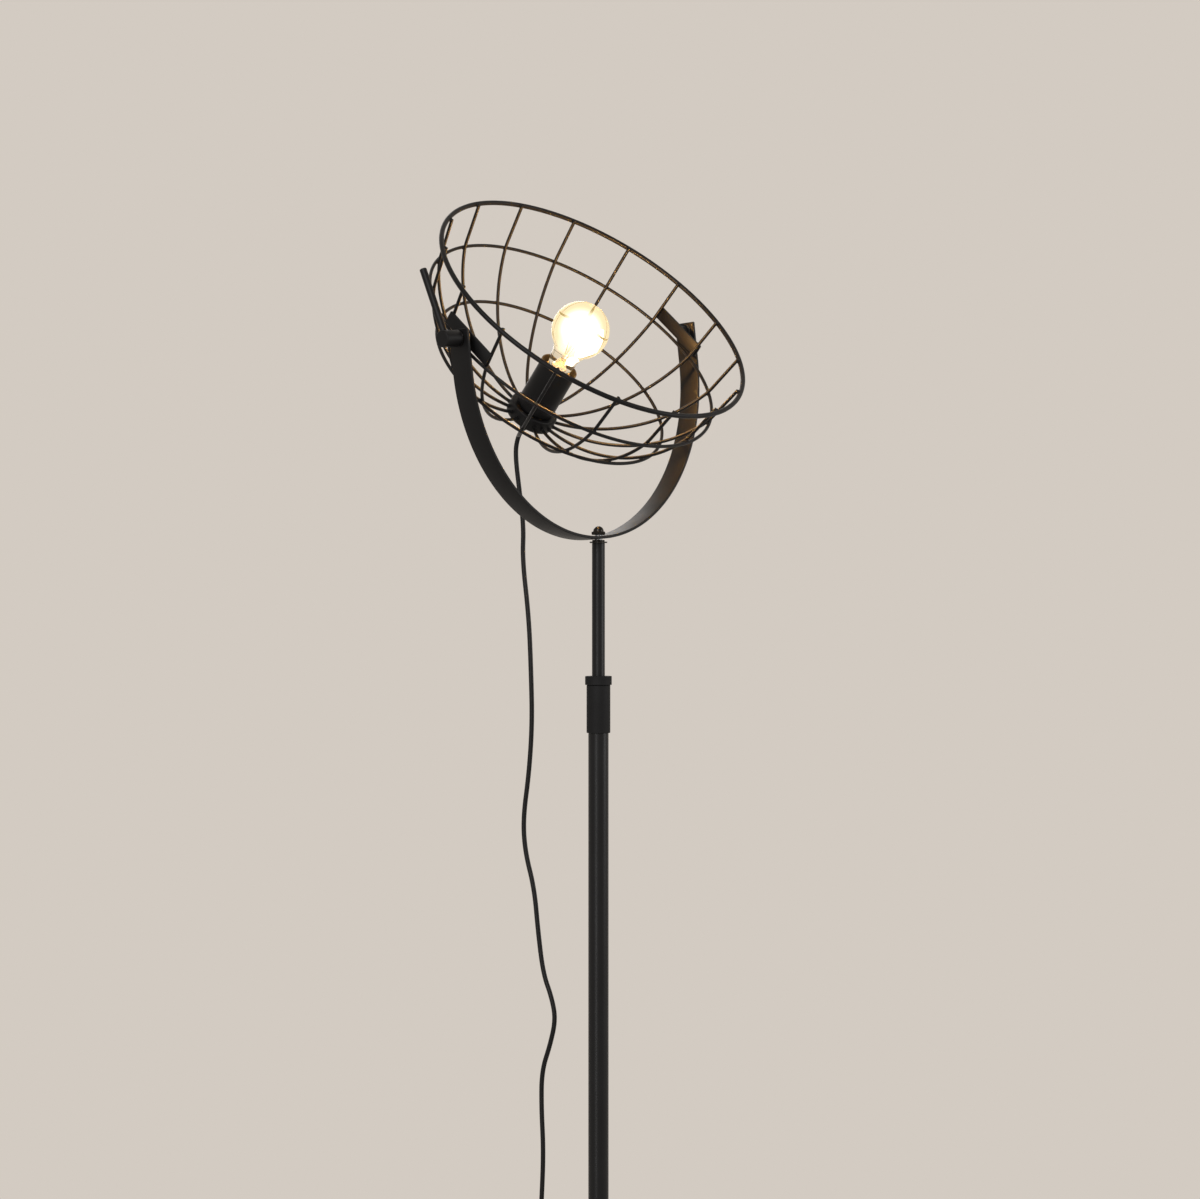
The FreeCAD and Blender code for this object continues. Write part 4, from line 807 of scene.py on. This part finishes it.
def wire_along(tree, curve, diameter, sides, capped):
    """A round wire along a curve."""
    half = add(tree, "ShaderNodeMath", {0: diameter, 1: 0.5}, operation="MULTIPLY")
    section = add(tree, "GeometryNodeCurvePrimitiveCircle", {"Resolution": sides, "Radius": half})
    return add(tree, "GeometryNodeCurveToMesh", {"Curve": curve, "Profile Curve": section, "Fill Caps": capped})


def cage_rib(tree, given):
    """One rib in the XZ plane: the straight top, the bend at the shoulder and the bowl, as one wire."""
    quarter = math.pi / 2.0
    top = add(tree, "GeometryNodeCurvePrimitiveLine", {"Start": given["Rib Top"], "End": given["Shoulder"]})
    pieces = [top]
    for name, start, end in (("Bend", "Shoulder Turn", "Bend End"), ("Bowl", "Bend End", "Bowl End")):
        first = add(tree, "ShaderNodeMath", {0: given[start], 1: quarter}, operation="SUBTRACT")
        sweep = add(tree, "ShaderNodeMath", {0: given[end], 1: given[start]}, operation="SUBTRACT")
        arc = add(tree, "GeometryNodeCurveArc", {"Resolution": 40, "Radius": given[f"{name} Radius"],
                                                 "Start Angle": first, "Sweep Angle": sweep})
        pieces.append(add(tree, "GeometryNodeTransform", {"Geometry": arc, "Rotation": (quarter, 0.0, 0.0),
                                                          "Translation": given[f"{name} Centre"]}))
    line = add(tree, "GeometryNodeJoinGeometry")
    for piece in pieces:
        tree.links.new(piece.outputs[0], line.inputs[0])
    edges = add(tree, "GeometryNodeCurveToMesh", {"Curve": line})
    merged = add(tree, "GeometryNodeMergeByDistance", {"Geometry": edges, "Distance": 0.05})
    rib = add(tree, "GeometryNodeMeshToCurve", {"Mesh": merged})
    return wire_along(tree, rib, given["Rib Wire"], 12, True)


def cage_hoop(tree, radius, height, wire):
    """One closed ring of wire at a height."""
    circle = add(tree, "GeometryNodeCurvePrimitiveCircle", {"Resolution": 160, "Radius": radius})
    hoop = wire_along(tree, circle, wire, 14, False)
    lift = add(tree, "ShaderNodeCombineXYZ", {"Z": height})
    return add(tree, "GeometryNodeTransform", {"Geometry": hoop, "Translation": lift})


def weld_spots():
    """Where a rib meets the rim, the two rings and the crown, as (radius, height) pairs."""
    outward = (math.sin(SHOULDER_TURN), -math.cos(SHOULDER_TURN))
    rim_spot = (RIM_RADIUS - outward[0] * RIM_WIRE / 2.0, RIM_HEIGHT - outward[1] * RIM_WIRE / 2.0)
    crown_spot = arc_point(BOWL_CENTRE, BOWL_RADIUS, BOWL_END)
    return [rim_spot, hoop_place(UPPER_RING_TURN)[1], hoop_place(LOWER_RING_TURN)[1],
            (crown_spot[0] + 0.6, crown_spot[1])]


def make_cage():
    """The welded cage as one mesh: a rib set round the axis, the rim, the two rings and the weld beads."""
    upper = hoop_place(UPPER_RING_TURN)[0]
    lower = hoop_place(LOWER_RING_TURN)[0]
    values = {
        "Rib Count": RIB_COUNT, "Rib Wire": RIB_WIRE, "Rib Top": (RIB_TOP[0], 0.0, RIB_TOP[1]),
        "Shoulder": (SHOULDER[0], 0.0, SHOULDER[1]), "Shoulder Turn": SHOULDER_TURN,
        "Bend Radius": BEND_RADIUS, "Bend Centre": (BEND_CENTRE[0], 0.0, BEND_CENTRE[1]), "Bend End": BEND_END,
        "Bowl Radius": BOWL_RADIUS, "Bowl Centre": (BOWL_CENTRE[0], 0.0, BOWL_CENTRE[1]), "Bowl End": BOWL_END,
        "Rim Radius": RIM_RADIUS, "Rim Height": RIM_HEIGHT, "Rim Wire": RIM_WIRE, "Ring Wire": RING_WIRE,
        "Upper Ring Radius": upper[0], "Upper Ring Height": upper[1],
        "Lower Ring Radius": lower[0], "Lower Ring Height": lower[1], "Weld Bead": WELD_BEAD, "Finish": POWDER,
    }
    tree, given = new_tree("wire_cage", values)
    # the pivots lie midway between two ribs
    middle = add(tree, "ShaderNodeMath", {0: add(tree, "GeometryNodeInputIndex"), 1: 0.5}, operation="ADD")
    step = add(tree, "ShaderNodeMath", {0: 2.0 * math.pi, 1: given["Rib Count"]}, operation="DIVIDE")
    turn = add(tree, "ShaderNodeMath", {0: middle, 1: step}, operation="MULTIPLY")
    facing = add(tree, "ShaderNodeCombineXYZ", {"Z": turn})
    spots = add(tree, "GeometryNodePoints", {"Count": given["Rib Count"], "Position": (0.0, 0.0, 0.0)})
    made = [add(tree, "GeometryNodeInstanceOnPoints", {"Points": spots, "Instance": cage_rib(tree, given),
                                                       "Rotation": facing})]
    for name, wire in (("Rim", "Rim Wire"), ("Upper Ring", "Ring Wire"), ("Lower Ring", "Ring Wire")):
        made.append(cage_hoop(tree, given[f"{name} Radius"], given[f"{name} Height"], given[wire]))
    bead = add(tree, "GeometryNodeMeshIcoSphere", {"Radius": given["Weld Bead"], "Subdivisions": 2})
    for radius, height in weld_spots():
        weld = add(tree, "GeometryNodeTransform", {"Geometry": bead, "Translation": (radius, 0.0, height)})
        made.append(add(tree, "GeometryNodeInstanceOnPoints", {"Points": spots, "Instance": weld,
                                                               "Rotation": facing}))
    cage = add(tree, "GeometryNodeJoinGeometry")
    for part in made:
        tree.links.new(part.outputs[0], cage.inputs[0])
    finished("welded_wire_cage", mesh_from_tree(tree, values, cage, CAGE), POWDER, "powder_coat", "head",
             "cage_rim", "cage_ring_upper", "cage_ring_lower",
             *[f"cage_rib_pair_{number}" for number in range(1, RIB_COUNT // 2 + 1)])


make_cage()

# ---------------------------------------------------------------- crown, lampholder and bulb

SCREW_PITCH = 3.62
THREAD_STEP = 0.45


def threaded(depth, low, high, outside):
    """A radius rule that rolls the cap's round thread into the surface outside this radius."""
    def reach(radius, height, turn):
        if radius < outside or not low < height < high:
            return radius
        wave = 0.5 - 0.5 * math.cos(2.0 * math.pi * height / SCREW_PITCH - turn)
        return radius - depth * wave
    return reach


def upright_steps(radius, low, high):
    """Outline points up a straight wall, close enough together to carry a thread."""
    count = round((high - low) / THREAD_STEP)
    return [(radius, low + (high - low) * index / count) for index in range(count + 1)]


def make_crown_and_cup():
    """The pressed crown that the ribs are welded to, and the spun cup over the lampholder."""
    turned("cage_crown_cup", [
        (5.0, -113.0), (26.5, -113.0, 2.0), (26.5, -98.0, 1.4), (24.4, -98.0, 0.4), (24.4, -98.6, 0.4),
        (5.0, -98.6),
    ], POWDER, "powder_coat", "head", "cage_crown", place=CAGE, sides=96)
    turned("lamp_cup", [
        (5.05, -98.5), (20.4, -98.5, 1.6), (20.4, -42.0, 0.45), (19.4, -42.0, 0.45), (19.4, -96.9, 1.2),
        (5.05, -96.9),
    ], POWDER, "powder_coat", "head", "holder_cup", place=CAGE, sides=96)


def make_lampholder():
    """The dark insert and its brass screw shell, which lights up gold inside the cup's mouth."""
    turned("lampholder_insert", [
        (5.0, -93.8), (17.5, -93.8, 1.0), (17.5, -49.0, 1.2), (13.92, -49.0, 0.6), (13.92, -83.8), (5.0, -83.8),
    ], PHENOLIC, "porcelain", "head", "holder_body", place=CAGE)
    wall = upright_steps(13.9, -73.0, -49.0)
    lining = upright_steps(13.4, -73.0, -49.0)[::-1]
    turned("screw_shell", wall + lining, BRASS, "brass", "head", "holder_shell",
           place=CAGE, sides=64, reach=threaded(0.5, -72.0, -50.5, 1.0))


def make_bulb():
    """The pear bulb: thin glass, the rolled screw cap, and the glass stem with its hot filament."""
    ball = 30.0
    neck = 14.5
    blend = 26.0
    drop = math.sqrt((ball + blend) ** 2 - (neck + blend) ** 2)
    join = math.atan2(drop, neck + blend)

    def skin(inset):
        pairs = []
        for step in range(49):
            turn = math.pi / 2.0 - (math.pi / 2.0 + join) * step / 48
            radius = (ball - inset) * math.cos(turn) if step else 0.0
            pairs.append((radius, BALL_HEIGHT + (ball - inset) * math.sin(turn)))
        for step in range(1, 17):
            turn = math.pi - join + join * step / 16
            pairs.append((neck + blend + (blend + inset) * math.cos(turn),
                          BALL_HEIGHT - drop + (blend + inset) * math.sin(turn)))
        return pairs + [(12.6 - inset, -43.0 + inset)]

    outline = skin(0.0) + [(0.0, -43.0), (0.0, -42.2)] + skin(0.8)[::-1]
    envelope = turned("bulb_envelope", outline, GLASS, "bulb_glass", "head", "bulb_glass", place=CAGE, sides=96)
    envelope.visible_shadow = False
    cap = [(0.0, -69.0), (4.8, -69.0, 0.8), (4.8, -65.0), (10.4, -65.0, 0.4)]
    cap += upright_steps(12.9, -62.5, -43.02) + [(0.0, -43.02)]
    turned("bulb_screw_cap", cap, CAP_BRASS, "bulb_cap_metal", "head", "bulb_cap",
           place=CAGE, sides=64, reach=threaded(0.8, -62.0, -46.5, 12.5))
    turned("bulb_stem", [
        (0.0, -42.1), (7.0, -42.1, 0.4), (4.2, -35.0, 6.0), (2.2, -28.0, 3.0), (2.2, -19.5, 1.0), (0.0, -18.2),
    ], STEM_GLASS, "bulb_glass", "head", place=CAGE, sides=48)
    leads = []
    for side in (-1.0, 1.0):
        foot = Vector((side * 1.1, 0.0, -20.5))
        tip = Vector((side * 13.0, 0.0, 9.5))
        way = (tip - foot).to_track_quat("Z", "Y").to_matrix().to_4x4()
        place = CAGE @ Matrix.Translation(foot / 1000.0) @ way
        leads.append(lathe("lead", [(0.0, 0.0), (0.45, 0.0), (0.45, (tip - foot).length, 0.2),
                                    (0.0, (tip - foot).length)], place, sides=12))
    finished("filament_leads", joined("filament_leads", *leads), NICKEL, "filament_glow", "head")
    wound = CAGE @ move_by(-tip.x, 0.0, tip.z) @ along_x()
    coil = coil_mesh("filament_coil", wound, 2.0 * tip.x, 0.9, 0.44, 24.0, TUNGSTEN)
    finished("filament_coil", coil, TUNGSTEN, "filament_glow", "head", "bulb_filament")


def coil_mesh(name, place, span, coil_radius, wire, turns, finish):
    """A wound wire that climbs from the place's origin, from a spiral node; sizes in millimetres."""
    values = {"Span": span, "Coil Radius": coil_radius, "Wire": wire, "Turns": turns, "Finish": finish}
    tree, given = new_tree(name, values)
    spiral = add(tree, "GeometryNodeCurveSpiral", {
        "Resolution": 12, "Rotations": given["Turns"], "Start Radius": given["Coil Radius"],
        "End Radius": given["Coil Radius"], "Height": given["Span"]})
    return mesh_from_tree(tree, values, wire_along(tree, spiral, given["Wire"], 6, True), place)


def ribbed_sleeve(length, root, tip, root_height, step):
    """Half outline of a tapered strain relief with shallow grooves, from its root to its tip."""
    pairs = []
    count = int(length / step)
    for index in range(count):
        share = index / count
        radius = root + (tip - root) * share
        height = root_height + length * share
        pairs += [(radius, height + step * 0.1, 0.2), (radius - 0.02, height + step * 0.6, 0.2),
                  (radius - 0.7, height + step * 0.7), (radius - 0.7, height + step * 0.98)]
    return pairs


def make_gland():
    """The tapered grooved sleeve that leads the cord out of the crown."""
    outline = [(0.0, 113.0)] + ribbed_sleeve(14.0, 5.2, 3.7, 113.0, 2.8) + [(3.2, 127.0, 0.3), (0.0, 127.0)]
    turned("cord_gland_sleeve", outline, RUBBER, "base_felt_rubber", "head", "cord_gland",
           place=CAGE @ turn_by(180.0, "X"), sides=48)


make_crown_and_cup()
make_lampholder()
make_bulb()
make_gland()

# ---------------------------------------------------------------- foot switch and plug

SWITCH_PLACE = move_by(-20.0, 315.0, 0.0)
SWITCH_WIDTH = 36.0
SWITCH_LENGTH = 74.0
SWITCH_CORNER = 14.0


def rounded_ring(inset, height):
    """A level ring round the switch's outline, drawn in by this much."""
    outline = rectangle(SWITCH_WIDTH / 2.0 - inset, SWITCH_LENGTH / 2.0 - inset, SWITCH_CORNER - inset, 10)
    return [(x, y, height) for x, y in outline]


def round_ring(radius, height, count, start):
    """A level round ring of points that begins in the same direction as a rounded ring."""
    ring = []
    for index in range(count):
        turn = start + 2.0 * math.pi * index / count
        ring.append((radius * math.cos(turn), radius * math.sin(turn), height))
    return ring


def make_switch():
    """The foot switch: a lower tray, an upper shell with a round hole, and the dished button."""
    tray = loft("switch_tray", [
        rounded_ring(1.2, 0.0), rounded_ring(0.4, 0.4), rounded_ring(0.0, 1.3), rounded_ring(0.0, 10.6),
        rounded_ring(0.4, 11.0),
    ], SWITCH_PLACE)
    finished("switch_tray", tray, PLASTIC, "moulded_plastic", "base", "switch_base")
    rings = [rounded_ring(0.4, 11.02), rounded_ring(0.0, 11.4)]
    for step in range(5):
        turn = math.radians(90.0 * step / 4)
        rings.append(rounded_ring(2.0 * (1.0 - math.cos(turn)), 18.0 + 2.0 * math.sin(turn)))
    count = len(rings[0])
    start = math.atan2(rings[0][0][1], rings[0][0][0])
    rings += [round_ring(12.6, 20.0, count, start), round_ring(12.15, 19.6, count, start),
              round_ring(12.15, 18.4, count, start)]
    rings += [rounded_ring(1.6, 18.4), rounded_ring(1.6, 11.02)]
    shell = loft("switch_shell", rings, SWITCH_PLACE, closed=True)
    finished("switch_shell", shell, PLASTIC, "moulded_plastic", "base", "switch_cover")
    turned("switch_push_button", [
        (0.0, 15.8), (13.5, 15.8, 0.3), (13.5, 18.0, 0.3), (12.0, 18.0), (12.0, 25.0, 1.4), (9.0, 24.6, 8.0),
        (0.0, 23.9),
    ], PLASTIC, "moulded_plastic", "button", "switch_button", place=SWITCH_PLACE)
    outline = [(2.5, 35.4)] + ribbed_sleeve(18.5, 4.7, 3.6, 37.0, 3.7) + [(3.3, 57.0, 0.4), (2.5, 57.0)]
    ends = [lathe("sleeve", outline, SWITCH_PLACE @ move_by(0.0, 0.0, 7.0) @ turn_by(turn, "X"), sides=40)
            for turn in (90.0, -90.0)]
    finished("switch_sleeves", joined("switch_sleeves", *ends), RUBBER, "base_felt_rubber", "base",
             "switch_reliefs")
    low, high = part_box("switch_spring")
    foot = Vector((*SWITCH_PLACE.translation.xy, low.z + mm(0.5)))
    head = Vector((*SWITCH_PLACE.translation.xy, high.z - mm(0.5)))
    coil = coil_mesh("button_spring", Matrix.Translation(foot), (head.z - foot.z) * 1000.0, 5.0, 1.0, 3.0, ZINC)
    spring = finished("button_spring", coil, ZINC, "zinc_steel", None, "switch_spring")
    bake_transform(spring)


PLUG_MIDDLE = 6.85


def plug_ring(along, width, depth, corner):
    """A section of the plug across its length; the plug points along -X and lies on the floor."""
    return [(-along, y, PLUG_MIDDLE + z) for y, z in rectangle(width / 2.0, depth / 2.0, corner, 8)]


def make_plug():
    """The flat moulded plug: a grooved relief, a waist to grip, a full face and two sleeved pins."""
    place = move_by(-126.8, 332.8, 0.0)
    sections = [(22.5, 9.0, 9.0, 4.2), (24.2, 15.0, 11.6, 4.8), (26.0, 19.0, 13.0, 4.6),
                (29.0, 23.0, 13.5, 4.4)]
    for ridge in range(4):
        at = 31.0 + 2.4 * ridge
        width = 25.6 + 2.3 * ridge
        sections += [(at, width, 13.7, 4.2), (at + 0.3, width - 0.8, 12.7, 4.0),
                     (at + 1.1, width - 0.2, 12.7, 4.0), (at + 1.4, width + 1.2, 13.7, 4.2)]
    sections += [(41.2, 35.0, 13.7, 4.0), (44.0, 35.3, 13.7, 4.0), (57.2, 35.3, 13.7, 4.0),
                 (57.8, 34.5, 12.9, 3.6), (58.0, 33.3, 11.7, 3.2)]
    body = loft("plug_shell", [plug_ring(*section) for section in sections], place)
    outline = [(0.0, -1.0), (3.2, 0.0, 0.4)]
    outline += [(pair[0], 24.0 - pair[1]) for pair in reversed(ribbed_sleeve(24.0, 4.8, 3.5, 0.0, 4.0))]
    outline += [(4.8, 26.0), (0.0, 26.0)]
    relief = lathe("plug_relief", outline, place @ move_by(0.0, 0.0, 8.1) @ along_x(True), sides=40)
    shell = finished("plug_shell", joined("plug_shell", body, relief), SHEATH, "cord_sheath", "base",
                     "plug_body")
    pin = [(0.0, 57.0), (2.0, 57.0), (2.0, 77.0, 1.3), (0.0, 77.0)]
    pins = [lathe("pin", pin, place @ move_by(0.0, across, PLUG_MIDDLE) @ along_x(True), sides=32)
            for across in (-9.3, 9.3)]
    pins_piece = finished("plug_contact_pins", joined("plug_contact_pins", *pins), NICKEL, "nickel", "base",
                          "plug_pins")
    return [shell, pins_piece]


make_switch()
plug_pieces = make_plug()


def make_floor_cord():
    """The last length: out of the switch, round on the floor, into the neat coil and to the plug."""
    route = TAIL_ROUTE[:-1] + coil_route()
    cord = cord_curve("cord_floor_length", route, CORD_DIAMETER)
    cord.data.materials.append(SHEATH)
    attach(cord, "base")
    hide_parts("cord_tail", "cord_coil")


make_floor_cord()

# ---------------------------------------------------------------- finishes of the solids that stay

CARRIED = {
    "base_pad": RUBBER, "base_weight": CAST_IRON, "base_bolt": ZINC, "tube_foot_plug": ZINC,
    "collar_collet": NYLON, "guide_bush": NYLON, "mast_stud": ZINC, "lever_stud": ZINC, "lamp_nipple": ZINC,
    "nipple_nut": ZINC, "holder_contact": BRASS,
}
for node, material in CARRIED.items():
    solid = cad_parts[node]
    solid.data.materials.clear()
    solid.data.materials.append(material)

# ---------------------------------------------------------------- floor, background and lamps

BACKGROUND = "#d3cbc2"


def add_floor():
    """A plain pale floor that fades into the background, so that no horizon shows."""
    mesh = bpy.data.meshes.new("floor")
    rim = [(5.0 * math.cos(math.radians(3 * i)), 5.0 * math.sin(math.radians(3 * i)), 0.0) for i in range(120)]
    mesh.from_pydata(rim, [], [list(range(120))])
    floor = bpy.data.objects.new("floor", mesh)
    bpy.context.collection.objects.link(floor)
    material, tree, place = new_material("floor_pale", BACKGROUND, Roughness=0.9, Specular_IOR_Level=0.1)
    far = add(tree, "ShaderNodeVectorMath", {0: place}, operation="LENGTH")
    fade = add(tree, "ShaderNodeMapRange", {"Value": far.outputs["Value"], "From Min": 0.5, "From Max": 2.6},
               interpolation_type="SMOOTHERSTEP")
    plain = add(tree, "ShaderNodeEmission", {"Color": linear(BACKGROUND), "Strength": 1.0})
    mixed = add(tree, "ShaderNodeMixShader", {0: fade, 1: tree.nodes["Principled BSDF"], 2: plain})
    tree.links.new(mixed.outputs[0], tree.nodes["Material Output"].inputs["Surface"])
    mesh.materials.append(material)


def add_world():
    """Even studio light, and the plain pale background that the camera and bright surfaces see."""
    world = bpy.data.worlds.new("studio")
    bpy.context.scene.world = world
    world.use_nodes = True
    tree = world.node_tree
    tree.nodes.clear()
    rays = add(tree, "ShaderNodeLightPath")
    light = add(tree, "ShaderNodeBackground", {"Color": linear("#f2f2f4"), "Strength": 0.62})
    seen = add(tree, "ShaderNodeBackground", {"Color": linear(BACKGROUND), "Strength": 1.0})
    straight = add(tree, "ShaderNodeMath", {0: rays.outputs["Is Camera Ray"],
                                            1: rays.outputs["Is Transmission Ray"]}, operation="MAXIMUM")
    mirrored = add(tree, "ShaderNodeMath", {0: straight, 1: rays.outputs["Is Glossy Ray"]},
                   operation="MAXIMUM")
    both = add(tree, "ShaderNodeMixShader", {0: mirrored, 1: light, 2: seen})
    add(tree, "ShaderNodeOutputWorld", {"Surface": both})


add_floor()
add_world()
add_softbox("key_softbox", (-2.6, -1.2, 2.9), (0.0, 0.0, 1.2), 1.4, 1.4, 45.0)
add_softbox("tall_softbox", (-2.5, -0.7, 1.1), (0.0, 0.0, 1.1), 0.4, 1.8, 12.0)
add_softbox("fill_softbox", (1.6, -2.8, 1.8), (0.0, 0.0, 1.1), 1.6, 1.6, 28.0)
add_softbox("rim_softbox", (1.8, 2.4, 2.6), (0.0, 0.0, 1.2), 1.4, 1.8, 16.0)
bpy.context.scene.view_settings.view_transform = "Standard"


def add_bulb_light():
    """The lit bulb's own warm light on the wires, the bracket's inner faces and the cup's mouth."""
    data = bpy.data.lights.new("bulb_light", "POINT")
    data.energy = 3.6
    data.color = (1.0, 0.5, 0.14)
    data.shadow_soft_size = mm(12.0)
    lamp = bpy.data.objects.new("bulb_light", data)
    lamp.location = BULB_MIDDLE
    lamp.visible_camera = False
    bpy.context.collection.objects.link(lamp)
    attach(lamp, "head")


add_bulb_light()
